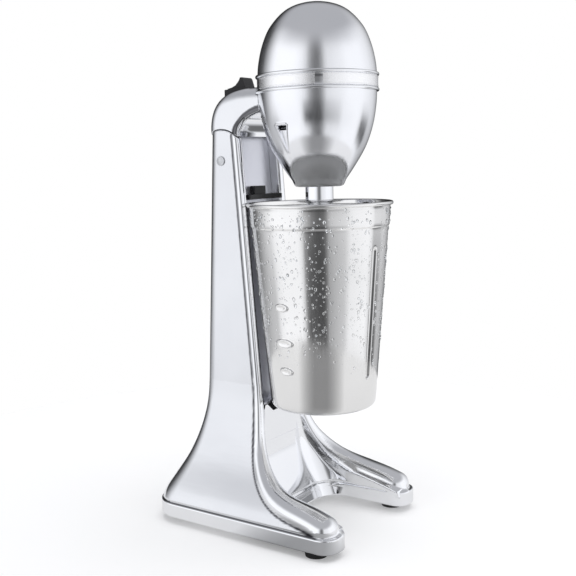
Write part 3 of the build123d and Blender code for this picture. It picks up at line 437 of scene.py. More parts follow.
def band_piece():
    """The trim band, with a bead along each edge."""
    low = BAND_LOW + 1.25
    high = BAND_HIGH - 1.25
    outline = [(39.6, BAND_LOW), (BAND_R - 0.4, BAND_LOW)]
    outline += arc((BAND_R, low), BAND_BEAD, -100, 80, 14)
    outline += [(BAND_R, low + 1.35), (BAND_R, high - 1.35)]
    outline += arc((BAND_R, high), BAND_BEAD, -80, 100, 14)
    outline += [(BAND_R - 0.4, BAND_HIGH), (39.6, BAND_HIGH)]
    verts, faces = turned(outline, even(256))
    make_mesh("head_band", verts, faces, "head", CHROME, ["trim_band"], 45)


def plate_piece():
    """The blank plates on the band, each with a raised edge."""
    edge = [(0, 0), (0.32, 0), (0.5, 0.2), (0.5, 0.75), (0.36, 0.9)]
    outline = [(BAND_R + out, PLATE_LOW + up) for out, up in edge]
    outline += [(BAND_R + out, PLATE_HIGH - up) for out, up in edge[::-1]]
    count = len(outline)
    verts, faces = [], []
    for start, end in PLATE_SPANS:
        steps = max(int(abs(end - start) / 1.5), 8)
        base = len(verts)
        for i in range(steps + 1):
            a = math.radians(start + (end - start) * i / steps)
            verts += [(r * math.cos(a), r * math.sin(a), z) for r, z in outline]
        faces += tube_faces(base, steps + 1, count)
        faces.append(tuple(range(base, base + count)))
        faces.append(tuple(range(base + steps * count, base + (steps + 1) * count))[::-1])
    make_mesh("band_plates", verts, faces, "head", PLATE, ["label_plates"], 30)


def sleeve_piece():
    """The coupling sleeve, with a fine groove round it."""
    outline = [(3.2, 224.0), (8.9, 224.0), (9.6, 224.3), (9.8, 225.0), (9.8, 233.0), (9.55, 233.3),
               (9.55, 233.9), (9.8, 234.2), (9.8, 246.8), (9.3, 247.4), (3.1, 247.5), (3.1, 230.1),
               (3.2, 230.0)]
    verts, faces = turned(outline, even(128))
    make_mesh("spindle_collar", verts, faces, "drive", CHROME, ["spindle_sleeve"], 30)


# ---------------------------------------------------------------- cup

def cup_r(z):
    """The outer radius of the tapering wall."""
    return CUP_LOW_R + (z - CUP_LOW) / (CUP_STEP - CUP_LOW) * (CUP_STEP_R - CUP_LOW_R)


def cup_relief(verts):
    """Presses in the long flute and presses out the three ovals, on both faces of the sheet."""
    radius = np.hypot(verts[:, 0], verts[:, 1])
    angle = np.degrees(np.arctan2(verts[:, 1], verts[:, 0]))
    z = verts[:, 2]
    across = np.radians((angle - FLUTE_AZIMUTH + 180) % 360 - 180) * 43.0
    beyond = np.maximum(np.maximum(FLUTE_LOW - z, z - FLUTE_HIGH), 0)
    away = np.hypot(across, beyond)
    move = -FLUTE_DEPTH * smooth01((FLUTE_HALF - away) / 1.6)
    for height, wide, high in OVALS:
        across = np.radians((angle - OVAL_AZIMUTH + 180) % 360 - 180) * cup_r(height)
        away = np.hypot(across / wide, (z - height) / high)
        rim = smooth01((1.08 - away) / 0.2)
        dish = smooth01((0.7 - away) / 0.4)
        move += OVAL_RISE * rim - OVAL_DISH * dish
    wall = (z > CUP_LOW + 4) & (radius > 30)
    factor = np.where(wall, 1 + move / np.maximum(radius, 1), 1)
    verts[:, 0] *= factor
    verts[:, 1] *= factor
    return verts


def cup_piece():
    """One outline goes up the outside, over the rolled rim and down the inside."""
    outer = [(0, CUP_LOW + 0.7), (20.0, CUP_LOW + 0.7), (31.0, CUP_LOW + 0.6), (32.0, CUP_LOW + 0.2),
             (33.2, CUP_LOW)]
    outer += arc((CUP_FLOOR_R, CUP_LOW + 4.0), 4.0, -90, -8, 9)
    walls = np.concatenate([np.arange(95, 112, 1.4), np.arange(112, 170, 0.42), np.arange(170, 216.5, 1.1)])
    outer += [(cup_r(z), z) for z in walls]
    outer += [(CUP_STEP_R - 0.02, 217.4), (CUP_STEP_R + 0.1, 217.9), (CUP_STEP_R + 0.62, 218.5),
              (CUP_STEP_R + 0.76, 219.1), (CUP_STEP_R + 0.85, 221.0), (49.3, 226.5), (49.5, 230.0),
              (49.65, 231.8)]
    outer += arc((RIM_R, CUP_RIM), RIM_BEAD, -115, 175, 22)
    outer += [(48.72, 231.6), (48.6, 230.0), (48.4, 226.0), (48.0, 220.8), (47.5, 219.4), (47.25, 218.4),
              (47.2, 217.2)]
    outer += [(cup_r(z) - CUP_SHEET, z) for z in walls[::-1]]
    outer += arc((CUP_FLOOR_R, CUP_LOW + 4.2), 3.3, -8, -90, 7)
    outer += [(31.0, CUP_LOW + 1.4), (20.0, CUP_LOW + 1.6), (0, CUP_LOW + 1.6)]
    azimuths = dense_near((FLUTE_AZIMUTH % 360, OVAL_AZIMUTH), 11.0, 0.42, 1.8)
    verts, faces = turned(outer, azimuths, cup_relief)
    cup = make_mesh("mixing_cup", verts, faces, "cup_body", CUP_STEEL, ["cup"], 42)
    cup.data.materials.append(INSIDE)
    inward = np.array([[p.center.x, p.center.y - ROW_SHIFT * MM, 0] for p in cup.data.polygons])
    facing = np.array([p.normal for p in cup.data.polygons])
    within = (inward * facing).sum(1) < -0.0004
    low = np.array([p.center.z for p in cup.data.polygons]) < 0.2315
    cup.data.polygons.foreach_set("material_index", (within & low).astype(np.int32))


def droplets():
    """Condensation: small flattened domes scattered over the cup's upper wall."""
    rng = np.random.default_rng(DROP_SEED)
    rings, count = 3, 10
    verts, faces = [], []
    made = 0
    while made < DROP_COUNT:
        z = rng.uniform(DROP_LOW, DROP_HIGH)
        if rng.uniform() > min(1.0, 0.12 + (z - DROP_LOW) / 50.0):
            continue
        angle = rng.uniform(0, 2 * math.pi)
        size = DROP_SMALL + DROP_SPREAD * rng.uniform() ** 3.0
        wall = cup_r(z) if z < 217.5 else CUP_STEP_R + 0.75 + (z - 218) * 0.055
        from_flute, from_oval = (abs((math.degrees(angle) - a + 180) % 360 - 180)
                                 for a in (FLUTE_AZIMUTH, OVAL_AZIMUTH))
        on_oval = from_oval < 12 and any(abs(z - height) < 5 for height, _, _ in OVALS)
        if from_flute < 4.5 or on_oval:
            continue
        out = np.array([math.cos(angle), math.sin(angle), -0.083])
        out /= np.linalg.norm(out)
        side = np.array([-math.sin(angle), math.cos(angle), 0.0])
        up = np.cross(out, side)
        centre = np.array([wall * math.cos(angle), wall * math.sin(angle), z])
        long = 1.0 + 0.5 * rng.uniform()
        base = len(verts)
        for i in range(rings):
            lift = math.radians(-8 + 98 * i / rings)
            for a in even(count):
                offset = size * math.cos(lift) * (math.cos(a) * side + long * math.sin(a) * up)
                verts.append(centre + offset + out * size * DROP_RISE * math.sin(lift))
        verts.append(centre + out * size * DROP_RISE)
        faces += [ring[::-1] for ring in tube_faces(base, rings, count)]
        last = base + (rings - 1) * count
        for j in range(count):
            faces.append((last + j, last + (j + 1) % count, base + rings * count))
        faces.append(tuple(base + j for j in range(count))[::-1])
        made += 1
    make_mesh("condensation_drops", verts, faces, "cup_body", WATER)


# ---------------------------------------------------------------- stand

# The column's foot, by height: half width, rear face and corner radius.
FLARE = [(15.5, 63.0, 116.2, 23.0), (20.0, 61.6, 114.6, 22.5), (28.0, 57.0, 110.6, 21.0),
         (38.0, 50.0, 105.0, 18.5), (47.0, 44.2, 100.6, 16.5), (57.0, 39.0, 97.0, 15.0),
         (73.0, 32.4, 93.0, 13.0), (88.0, 28.4, 91.0, 12.0), (103.0, 27.0, 90.2, 12.0)]
# The rail's middle line, x, y and z, and its half width and half depth there.
RAIL = [(24.2, 53.2, 282.0, 3.7, 3.0), (24.2, 46.9, 192.0, 3.7, 3.0), (24.2, 40.6, 103.0, 3.7, 3.0),
        (25.1, 39.6, 88.0, 3.8, 3.1), (28.2, 37.6, 73.0, 4.2, 3.6), (33.6, 33.6, 57.0, 5.2, 4.7),
        (40.4, 25.6, 43.0, 6.9, 6.3), (46.4, 13.6, 32.4, 8.9, 7.5), (49.8, 0.0, 26.8, 10.4, 8.2),
        (50.8, -15.0, 23.2, 11.0, 8.5), (51.2, -25.0, 20.6, 11.1, 8.6), (51.4, -31.0, 18.6, 11.2, 8.7)]
# The wall between the legs, z and y.
FRONT_LINE = [(4.7, 21.5), (20, 27.0), (30, 31.2), (42, 35.4), (52, 37.4), (64, 38.15), (90, 38.2)]
FRONT_LIMIT = 38.3
# The line where the body ends in the rail, z and y.
EDGE_Z = [15.2, 16, 17.4, 19.6, 23.2, 26.8, 32.4, 43, 60, 103, 291]
EDGE_Y = [-42.9, -40.8, -37, -29, -15, 0, 13.5, 25.5, 36.4, 43.2, 54.1]
FLARE_TOP, COLUMN_LEAN = 103.0, 11.6 / 187.0
SKIRT_HALF, SKIRT_FRONT, SKIRT_BACK, SKIRT_MIDDLE, SKIRT_DEEP = 64.0, -44.0, 117.0, 10.1, 5.4
GROOVE_Z = 15.9
GAP_HALF, GAP_CORNER, GAP_TOP = 39.0, 18.0, 88.0
RECESS_HALF, RECESS_LOW, RECESS_LEAN = 20.7, 87.5, 12.4 / 202.5
SLOT_HALF, SLOT_TURN, SLOT_SPREAD, SLOT_R = 7.6, 21.0, 35.0, 5.5
PIVOT_Y, PIVOT_Z, PIVOT_TOP = 66.0, 265.0, 22.0
# The rail's value where no part of it is near.
FAR_OFF = 30.0

FLARE_T = spline(FLARE, 120).T
RAIL_T = np.vstack([RAIL[:2], spline(RAIL[2:], 70)])
FRONT_T = spline(FRONT_LINE, 90).T
FRONT_T[1] = np.minimum(FRONT_T[1], FRONT_LIMIT)


def rounded_max(a, b, r):
    """The intersection of two shapes with its edge rounded to radius r."""
    u = np.maximum(a + r, 0)
    v = np.maximum(b + r, 0)
    return np.minimum(np.maximum(a, b), -r) + np.sqrt(u * u + v * v)


def soft_min(a, b, k):
    """The union of two shapes with its inner corner filled over about k."""
    h = np.clip(0.5 + 0.5 * (b - a) / k, 0, 1)
    return b + (a - b) * h - k * h * (1 - h)


def round_box(qx, qy, corner):
    """A rectangle's shape from the distances past its sides, with rounded corners."""
    qx, qy = qx + corner, qy + corner
    return np.minimum(np.maximum(qx, qy), 0) + np.hypot(np.maximum(qx, 0), np.maximum(qy, 0)) - corner


def box_2d(x, y, half, front, back, corner):
    return round_box(np.abs(x) - half, np.abs(y - (front + back) / 2) - (back - front) / 2, corner)


def column_shape(x, y, z):
    """The column and its flare, back from the line where they end in the rails."""
    low = np.minimum(z, FLARE_TOP)
    half = np.interp(low, FLARE_T[0], FLARE_T[1])
    back = np.interp(low, FLARE_T[0], FLARE_T[2]) - np.maximum(z - FLARE_TOP, 0) * COLUMN_LEAN
    corner = np.interp(low, FLARE_T[0], FLARE_T[3])
    front = np.minimum(-39.0 + (z - 15.5) * 0.4, 30.0)
    front_corner = np.interp(z, [17.5, 22.0], [12.0, 2.0])
    corner = np.where(y > (front + back) / 2, corner, front_corner)
    body = np.maximum(box_2d(x, y, half, front, back, corner), 12.0 - z)
    ahead = (np.interp(z, EDGE_Z, EDGE_Y) - y) * np.where(z > 60, 1.0, 0.5)
    return np.maximum(body, np.where(z < EDGE_Z[0], -9.0, ahead))


def rail_shape(x, y, z):
    """Distance, near enough, from the oval rail that runs up the column and out along the leg."""
    points = np.stack([np.abs(x), y, z], -1)
    best = np.full(len(points), 1e9)
    value = np.full(len(points), FAR_OFF)
    for a, b in zip(RAIL_T[:-1], RAIL_T[1:]):
        low, high = np.minimum(a[:3], b[:3]) - 15.0, np.maximum(a[:3], b[:3]) + 15.0
        near = np.flatnonzero((y > low[1]) & (y < high[1]) & (z > low[2]) & (z < high[2]))
        if not len(near):
            continue
        p = points[near]
        d = b[:3] - a[:3]
        t = np.clip(((p - a[:3]) @ d) / (d @ d), 0, 1)
        o = p - a[:3] - t[:, None] * d
        away = np.einsum("ij,ij->i", o, o)
        along = d / np.linalg.norm(d)
        side = np.array([1.0, 0, 0]) - along * along[0]
        side /= np.linalg.norm(side)
        third = np.cross(along, side)
        wide = a[3] + t * (b[3] - a[3])
        deep = a[4] + t * (b[4] - a[4])
        e = np.sqrt((o @ side / wide) ** 2 + (o @ third / deep) ** 2 + (o @ along / (wide + deep) * 2) ** 2)
        mine = (e - 1) * np.minimum(wide, deep)
        nearer = away < best[near]
        best[near] = np.where(nearer, away, best[near])
        value[near] = np.where(nearer, mine, value[near])
    return value


def leg_gap(x, y, z):
    """The horseshoe's opening between the legs, and the room over it."""
    front = np.interp(z, FRONT_T[0], FRONT_T[1])
    gap = round_box(np.abs(x) - GAP_HALF, y - front, GAP_CORNER)
    return np.maximum(gap, z - GAP_TOP)


def bracket_slot(x, y, z):
    """The wedge that the arm's bracket swings in, round the pivot."""
    lean = np.degrees(np.arctan2(y - PIVOT_Y, z - PIVOT_Z))
    r = np.hypot(y - PIVOT_Y, z - PIVOT_Z)
    wedge = np.radians(np.abs(lean - SLOT_TURN) - SLOT_SPREAD) * r
    return np.maximum(np.abs(x) - SLOT_HALF, np.minimum(wedge, r - SLOT_R))


def stand_shape(x, y, z):
    """The whole casing: column, rails, legs and skirt, less the recess and the bracket's slot."""
    front = np.interp(z, FRONT_T[0], FRONT_T[1])
    rail_x = np.interp(z, [43, 57, 73, 88, 103], [41.0, 34.0, 28.2, 25.0, 23.9])
    fill = np.maximum(np.abs(x) - rail_x, front - y)
    fill = np.maximum(fill, np.maximum(y - 62.0, np.abs(z - 47.0) - 41.0))
    body = np.minimum(column_shape(x, y, z), fill)
    gap = leg_gap(x, y, z)
    body = rounded_max(body, -gap, 1.5)
    skirt_corner = np.where(y > 36, 24.0, 12.0)
    skirt = rounded_max(box_2d(x, y, SKIRT_HALF, SKIRT_FRONT, SKIRT_BACK, skirt_corner), -gap, 10.0)
    skirt = rounded_max(skirt, np.abs(z - SKIRT_MIDDLE) - SKIRT_DEEP, 1.1)
    body = body + 0.6 * np.exp(-((z - GROOVE_Z) / 0.55) ** 2) * smooth01((y + 32.0) / 4.0)
    body = soft_min(body, skirt, 0.4)
    near = (y < 72) & (np.abs(x) > 8)
    rail = np.full(x.shape, FAR_OFF)
    rail[near] = rail_shape(x[near], y[near], z[near])
    rail = np.maximum(np.maximum(rail, 6.0 - z), np.abs(x) - 63.6)
    centre = np.interp(z, [15, 19.6, 26.8, 32.4, 43, 57, 73, 103],
                       [51.2, 51.2, 49.8, 46.6, 41, 34, 28.2, 23.9])
    inner = smooth01((centre - np.abs(x)) / 4.0 + 0.3)
    blend = 0.9 + 4.1 * inner * smooth01((100 - z) / 25.0) + 0.5 * smooth01((-12 - y) / 14.0)
    body = soft_min(body, rail, blend)
    top = np.minimum(z - PIVOT_Z, np.hypot(y - PIVOT_Y, z - PIVOT_Z) - PIVOT_TOP)
    body = rounded_max(body, top, 0.5)
    back = 47.6 + (z - RECESS_LOW) * RECESS_LEAN
    recess = np.maximum(np.maximum(np.abs(x) - RECESS_HALF, y - back), RECESS_LOW - z)
    body = rounded_max(body, -recess, 0.4)
    return np.maximum(body, -bracket_slot(x, y, z))


def net(shape, low, high, step):
    """A quad mesh over the zero surface of a shape: one vertex in each cell that the surface crosses."""
    axes = [np.arange(a, b + step, step) for a, b in zip(low, high)]
    x, y, z = np.meshgrid(*axes, indexing="ij")
    f = shape(x.ravel(), y.ravel(), z.ravel()).reshape(x.shape)
    f = np.concatenate([f[:0:-1], f])
    xs = np.concatenate([-axes[0][:0:-1], axes[0]])
    grid = [xs, axes[1], axes[2]]
    inside = f < 0
    n = [k - 1 for k in f.shape]
    total = np.zeros((*n, 3))
    hits = np.zeros(n)
    corners = [(i, j, k) for i in (0, 1) for j in (0, 1) for k in (0, 1)]

    def part(array, c):
        return array[c[0]:c[0] + n[0], c[1]:c[1] + n[1], c[2]:c[2] + n[2]]

    for a in corners:
        for axis in range(3):
            if a[axis]:
                continue
            b = list(a)
            b[axis] = 1
            fa, fb = part(f, a), part(f, b)
            cross = part(inside, a) != part(inside, b)
            t = np.where(cross, fa / np.where(cross, fa - fb, 1), 0)
            for m in range(3):
                total[..., m] += np.where(cross, a[m] + (t if m == axis else 0), 0)
            hits += cross
    used = hits > 0
    index = np.full(n, -1)
    index[used] = np.arange(used.sum())
    cell = np.argwhere(used)
    verts = total[used] / hits[used][:, None]
    verts = np.stack([grid[m][cell[:, m]] + verts[:, m] * step for m in range(3)], 1)
    faces = []
    for axis in range(3):
        u, v = (axis + 1) % 3, (axis + 2) % 3
        a = [slice(1, k) for k in n]
        b = [slice(1, k) for k in n]
        a[axis], b[axis] = slice(0, n[axis]), slice(1, n[axis] + 1)
        fa, fb = inside[tuple(a)], inside[tuple(b)]
        for flip, mask in ((False, fa & ~fb), (True, ~fa & fb)):
            at = np.argwhere(mask)
            at[:, u] += 1
            at[:, v] += 1
            ring = []
            for du, dv in ((-1, -1), (0, -1), (0, 0), (-1, 0)):
                c = at.copy()
                c[:, u] += du
                c[:, v] += dv
                ring.append(index[c[:, 0], c[:, 1], c[:, 2]])
            ring = np.stack(ring[::-1] if flip else ring, 1)
            faces.append(ring[(ring >= 0).all(1)])
    return verts, np.concatenate(faces)


def slope(shape, p, step):
    """The shape's gradient at each point."""
    g = np.zeros_like(p)
    for m in range(3):
        d = np.zeros(3)
        d[m] = step
        g[:, m] = (shape(*(p + d).T) - shape(*(p - d).T)) / (2 * step)
    return g


def shape_piece(name, shape, low, high, step, body, material, replaced):
    """Nets a shape, draws each vertex on to its true surface and takes the normals from its slope."""
    verts, faces = net(shape, low, high, step)
    for reach in (0.15, 0.15, 0.06):
        g = slope(shape, verts, reach)
        length = np.maximum((g * g).sum(1), 0.09)
        move = -g * (shape(*verts.T) / length)[:, None]
        size = np.linalg.norm(move, axis=1)[:, None]
        verts = verts + move * np.minimum(1, step * 0.55 / np.maximum(size, 1e-9))
    g = slope(shape, verts, 0.25)
    normals = g / np.maximum(np.linalg.norm(g, axis=1), 1e-9)[:, None]
    obj = make_mesh(name, verts, faces, body, material, replaced)
    obj.data.normals_split_custom_set_from_vertices([tuple(v) for v in normals])
    return obj, verts, normals


def set_values(obj, name, values):
    """Stores one value for each vertex, for the material to read."""
    attribute = obj.data.attributes.new(name, "FLOAT", "POINT")
    attribute.data.foreach_set("value", values.astype(np.float32))


def stand_piece():
    """The stand's body; satin on the flanks, with painted shade: dark lines painted in the grooves beside the
    rail and over the skirt.
    """
    stand, verts, normals = shape_piece("stand_body", stand_shape, (0, -46.5, 3.2), (66.0, 119.0, 290.0),
                                        1.0, "stand", STAND, ["stand_casing"])
    x, y, z = verts.T
    rail = np.full(len(verts), FAR_OFF)
    near = y < 72
    rail[near] = rail_shape(*verts[near].T)
    outward = normals[:, 0] * np.sign(x) / np.maximum(np.hypot(normals[:, 0], normals[:, 1]), 1e-6)
    satin = smooth01(rail / 0.8 - 0.2) * smooth01((outward - 0.75) / 0.15)
    satin *= smooth01((z - GROOVE_Z) / 0.8)
    # Painted shade: a dark line along the groove beside the rail and along the groove over the skirt.
    line = np.maximum(smooth01(1.6 - np.abs(rail - 0.5) / 0.7), smooth01(1.25 - np.abs(z - GROOVE_Z) / 0.7))
    painted_groove_shade = line * smooth01((outward - 0.2) / 0.2) * smooth01((y + 34.0) / 3.0) * smooth01(rail / 0.5)
    set_values(stand, "satin", satin)
    set_values(stand, "painted_groove_shade", painted_groove_shade)


# ---------------------------------------------------------------- arm and pin

# The arm bends about this line; its inner and outer radius and half width go by the angle.
ARM_Y, ARM_Z, ARM_CORNER, ARM_SHEET = 46.0, 284.0, 11.0, 1.8
ARM_ANGLES = [0, 18, 36, 54, 72, 90]
ARM_LOW = [4.3, 4.4, 4.7, 5.5, 7.2, 9.8]
ARM_HIGH = [33.4, 34.4, 35.4, 34.8, 33.0, 32.0]
ARM_HALF = [27.0, 27.0, 26.6, 25.6, 24.4, 23.4]


def arm_table(values):
    """The values by angle round the arm's bend, as a smooth curve."""
    return spline(list(zip(ARM_ANGLES, values)), 60).T


ARM_LOW_T, ARM_HIGH_T, ARM_HALF_T = arm_table(ARM_LOW), arm_table(ARM_HIGH), arm_table(ARM_HALF)
# The bowl's outline with the room that the band needs above it, by height.
HEAD_RADII = sorted([(z, r) for r, z in BOWL] + [(310.0, 43.0), (330.0, 43.0)])


def arm_parts(x, y, z):
    """The arm's solid form, and the bead along its inner edge."""
    u, w = y - ARM_Y, z - ARM_Z
    angle = np.degrees(np.arctan2(np.maximum(w, 0), np.maximum(u, 1e-6)))
    r = np.where(w < 0, u, np.where(u < 0, w, np.hypot(u, w)))
    ahead = np.maximum(-u, 0)
    low = np.interp(angle, *ARM_LOW_T) + np.interp(ahead, [0, 4, 8, 16], [0, 2.0, 3.5, 5.3])
    high = np.interp(angle, *ARM_HIGH_T)
    half = np.interp(angle, *ARM_HALF_T) - ahead * 0.05
    form = rounded_max(round_box(np.abs(x) - half, r - high, ARM_CORNER), low - r, 2.5)
    bead = np.hypot(np.abs(x) - half + 1.4, r - low - 2.0) - 2.2
    return form, bead


def arm_shape(x, y, z):
    """The arm's shell, cut back to the pivot's knuckle, the head and the bracket's room."""
    form, bead = arm_parts(x, y, z)
    shell = np.maximum(soft_min(form, bead, 0.7), -(form + ARM_SHEET))
    shell = rounded_max(shell, PIVOT_TOP + 0.5 - np.hypot(y - PIVOT_Y, z - PIVOT_Z), 0.3)
    shell = np.maximum(shell, 273.0 - z)
    heights, radii = zip(*HEAD_RADII)
    shell = np.maximum(shell, np.interp(z, heights, radii) + 0.15 - np.hypot(x, y))
    room = np.maximum(np.maximum(np.abs(x) - 7.5, np.abs(y - 66.0) - 10.1), 265.0 - z)
    return np.maximum(np.maximum(shell, -room), 30.0 - y)


def arm_piece():
    arm, verts, normals = shape_piece("arm_cover", arm_shape, (0, 26.0, 268.0), (29.0, 82.0, 319.0), 0.75,
                                      "head", STAND, ["arm_casing"])
    form, bead = arm_parts(*verts.T)
    outward = smooth01((np.abs(normals[:, 0]) - 0.5) / 0.3)
    set_values(arm, "satin", smooth01(bead / 0.7) * outward * 0.8)
    # Painted shade: a dark line in the crease beside the bead.
    set_values(arm, "painted_groove_shade", smooth01(1.6 - np.abs(bead - 0.4) / 0.6) * outward * 0.9)


def pin_piece():
    """The pivot pin: a domed button with a raised ring on each end."""
    end = [(2.5, 26.6), (3.5, 27.05), (3.5, 27.6), (3.35, 27.85), (3.05, 27.95), (2.75, 27.85),
           (2.6, 27.6), (2.3, 27.55), (1.9, 27.75), (1.2, 27.9), (0.0, 27.98)]
    outline = [(r, -z) for r, z in end[::-1]] + end
    verts, faces = turned(outline, even(48))
    verts = np.stack([verts[:, 2], PIVOT_Y + verts[:, 0], PIVOT_Z + verts[:, 1]], 1)
    make_mesh("pivot_pin_turned", verts, faces, "stand", ZINC, ["pivot_pin"], 40)


# ---------------------------------------------------------------- camera, floor and light

# Soft walls round the set, by azimuth in degrees from the darkest gap, and their brightness.
# The low walls are what the cup and the head see beyond the floor.
WALLS = [(-180, 0.02), (-168, 0.02), (-150, 0.04), (-131, 0.09), (-122, 0.28), (-114, 0.48), (-98, 0.95),
         (-88, 1.1), (-45, 1.1), (-30, 0.98), (-21, 0.72), (-15, 0.40), (-9, 0.25), (-3, 0.18), (3, 0.20),
         (8, 0.33), (13, 0.60), (18, 0.82), (30, 0.88), (48, 0.96), (62, 1.05), (95, 1.05), (118, 0.92),
         (138, 0.72), (156, 0.4), (168, 0.06), (180, 0.02)]
LOW_WALLS = [(-180, 0.03), (-165, 0.05), (-150, 0.20), (-132, 0.45), (-112, 0.55), (-94, 0.60),
             (-84, 0.95), (-72, 1.05), (-38, 1.05), (-32, 0.85), (-27, 0.26), (-21, 0.12), (-4, 0.08),
             (6, 0.09), (10, 0.20), (14, 0.42), (24, 0.52), (42, 0.66), (52, 0.95), (88, 1.05), (97, 0.85),
             (101, 0.20), (122, 0.14), (128, 0.55), (145, 0.5), (165, 0.08), (180, 0.03)]
GAP_AZIMUTH = 213.0
CAMERA_PLACE = (-0.5415, -0.3788, 0.2609)
CAMERA_TURN, CAMERA_PITCH, CAMERA_ROLL, CAMERA_LENS = -55.29, 7.7, -1.44, 56.78
FLOOR_R, FLOOR_Z, FLOOR_RINGS, FLOOR_SIDES = 430.0, -0.05, 6, 96


def camera():
    """At the photograph's viewing angle: a little above the cup, to one side of the front."""
    a, pitch, roll = (math.radians(v) for v in (CAMERA_TURN, CAMERA_PITCH, CAMERA_ROLL))
    forward = Vector((-math.sin(a) * math.cos(pitch), math.cos(a) * math.cos(pitch), -math.sin(pitch)))
    level = Vector((math.cos(a), math.sin(a), 0))
    upright = level.cross(forward)
    right = level * math.cos(roll) + upright * math.sin(roll)
    up = upright * math.cos(roll) - level * math.sin(roll)
    data = bpy.data.cameras.new("camera")
    data.lens = CAMERA_LENS
    data.sensor_width = 36.0
    data.clip_start = 0.01
    obj = bpy.data.objects.new("camera", data)
    turn = Matrix((right, up, -forward)).transposed().to_4x4()
    obj.matrix_world = Matrix.Translation(Vector(CAMERA_PLACE)) @ turn
    bpy.context.scene.collection.objects.link(obj)
    bpy.context.scene.camera = obj


def floor_material():
    """Plain and pale to the eye, with an even glow; to the metal and to bounced light the floor carries
    painted light: a painted dark reflection towards the gap in the walls, and a painted glow away from it.
    """
    m, nodes, links, shader = nodes_of("floor")
    tone = noise(nodes, links, coordinates(nodes, links), 3.0, 2.0, 0.5)
    shader.inputs["Roughness"].default_value = 0.6
    shader.inputs["Specular IOR Level"].default_value = 0.0
    eye = nodes.new("ShaderNodeLightPath").outputs["Is Camera Ray"]
    place = nodes.new("ShaderNodeTexCoord").outputs["Object"]

    def vector_maths(operation, a):
        n = nodes.new("ShaderNodeVectorMath")
        n.operation = operation
        links.new(a, n.inputs[0])
        return n

    gap = math.radians(GAP_AZIMUTH)
    facing = vector_maths("DOT_PRODUCT", vector_maths("NORMALIZE", place).outputs["Vector"])
    facing.inputs[1].default_value = (math.cos(gap), math.sin(gap), 0)
    towards = facing.outputs["Value"]
    far = vector_maths("LENGTH", place).outputs["Value"]
    # Painted reflection: for rays other than the camera's, the floor's colour is painted darker towards the
    # gap.
    side = ramp(nodes, links, towards, 0.0, 1.0, 0.72, 0.98)
    open_side = ramp(nodes, links, tone, 0.57, 0.59)
    gap_side = ramp(nodes, links, far, 0.36, 0.27, 0.16, 0.26)
    painted_reflection_tone = colour_mix(nodes, links, side, open_side, gap_side)
    pale = colour_mix(nodes, links, eye, painted_reflection_tone, ramp(nodes, links, tone, 0.80, 0.82))
    links.new(pale, shader.inputs["Base Color"])
    glow = nodes.new("ShaderNodeEmission")
    glow.inputs["Strength"].default_value = 1.0
    # Painted light: the floor glows for rays other than the camera's, brightly away from the gap and hardly
    # towards it; for the camera its glow is even.
    painted_floor_glow = ramp(nodes, links, towards, 0.27, 0.02, 0.72, 0.98)
    links.new(colour_mix(nodes, links, eye, painted_floor_glow, (0.20, 0.20, 0.20, 1)), glow.inputs["Color"])
    both = nodes.new("ShaderNodeAddShader")
    links.new(shader.outputs[0], both.inputs[0])
    links.new(glow.outputs[0], both.inputs[1])
    links.new(both.outputs[0], nodes["Material Output"].inputs["Surface"])
    return m


def floor():
    count = FLOOR_SIDES
    verts = [(0, -ROW_SHIFT, FLOOR_Z)]
    for i in range(FLOOR_RINGS):
        radius = FLOOR_R * (i + 1) / FLOOR_RINGS
        verts += [(radius * math.cos(a), radius * math.sin(a) - ROW_SHIFT, FLOOR_Z) for a in even(count)]
    faces = [(0, 1 + j, 1 + (j + 1) % count) for j in range(count)]
    faces += tube_faces(1, FLOOR_RINGS, count)
    mesh = bpy.data.meshes.new("floor")
    mesh.from_pydata([tuple(v) for v in to_row(verts)], [], faces)
    mesh.materials.append(floor_material())
    obj = bpy.data.objects.new("floor", mesh)
    bpy.context.scene.collection.objects.link(obj)


def area(name, place, target, size, power):
    """A soft rectangular light, in metres and watts, that leaves no highlight of its own."""
    data = bpy.data.lights.new(name, "AREA")
    data.shape = "RECTANGLE"
    data.size, data.size_y = size
    data.energy = power
    obj = bpy.data.objects.new(name, data)
    obj.location = place
    obj.rotation_euler = (Vector(target) - Vector(place)).to_track_quat("-Z", "Y").to_euler()
    obj.visible_glossy = False
    bpy.context.scene.collection.objects.link(obj)


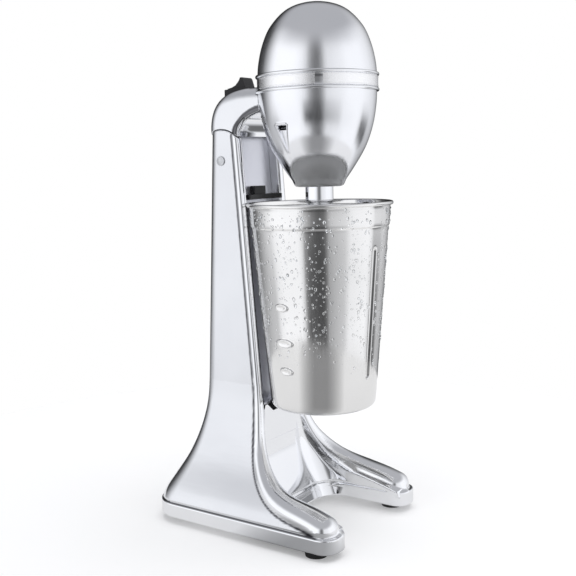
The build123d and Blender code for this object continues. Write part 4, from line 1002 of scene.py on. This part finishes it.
def world():
    """White to the eye; the metal sees the soft walls, and a grey ceiling above them."""
    w = bpy.data.worlds.new("studio")
    bpy.context.scene.world = w
    w.use_nodes = True
    nodes, links = w.node_tree.nodes, w.node_tree.links
    split = nodes.new("ShaderNodeSeparateXYZ")
    links.new(nodes.new("ShaderNodeTexCoord").outputs["Generated"], split.inputs[0])
    x, y, height = split.outputs

    def maths(operation, a, b):
        n = nodes.new("ShaderNodeMath")
        n.operation = operation
        for socket, value in zip(n.inputs, (a, b)):
            if isinstance(value, float):
                socket.default_value = value
            else:
                links.new(value, socket)
        return n.outputs[0]

    def sweep(levels):
        walls = nodes.new("ShaderNodeValToRGB")
        elements = walls.color_ramp.elements
        for i, (degrees, level) in enumerate(levels):
            place = degrees / 360 + 0.5
            element = elements[i] if i < 2 else elements.new(place)
            element.position = place
            element.color = (level * 0.99, level, level * 1.03, 1)
        links.new(turn, walls.inputs["Fac"])
        return walls.outputs["Color"]

    def rise(start, end, smooth):
        n = nodes.new("ShaderNodeMapRange")
        n.interpolation_type = "SMOOTHSTEP" if smooth else "LINEAR"
        n.inputs["From Min"].default_value = start
        n.inputs["From Max"].default_value = end
        links.new(height, n.inputs["Value"])
        return n.outputs["Result"]

    c, s = math.cos(math.radians(GAP_AZIMUTH)), math.sin(math.radians(GAP_AZIMUTH))
    along = maths("ADD", maths("MULTIPLY", x, c), maths("MULTIPLY", y, s))
    across = maths("SUBTRACT", maths("MULTIPLY", y, c), maths("MULTIPLY", x, s))
    turn = maths("ADD", maths("DIVIDE", maths("ARCTAN2", across, along), 2 * math.pi), 0.5)
    low = maths("MULTIPLY", rise(-0.04, -0.30, True), rise(-0.50, -0.36, False))
    walls = colour_mix(nodes, links, low, sweep(WALLS), sweep(LOW_WALLS))
    room = colour_mix(nodes, links, rise(0.42, 0.80, True), walls, (0.46, 0.465, 0.49, 1))
    eye = nodes.new("ShaderNodeLightPath").outputs["Is Camera Ray"]
    seen = colour_mix(nodes, links, eye, room, (1.0, 1.0, 1.0, 1))
    links.new(seen, nodes["Background"].inputs["Color"])


def set_up():
    camera()
    floor()
    world()
    area("overhead", (0.1, -0.15, 1.5), (0, 0, 0), (1.6, 1.6), 16)
    bpy.context.scene.view_settings.view_transform = "Standard"


set_up()
finish_cad_nodes()
stand_piece()
arm_piece()
pin_piece()
dome_piece()
bowl_piece()
band_piece()
plate_piece()
sleeve_piece()
cup_piece()
droplets()
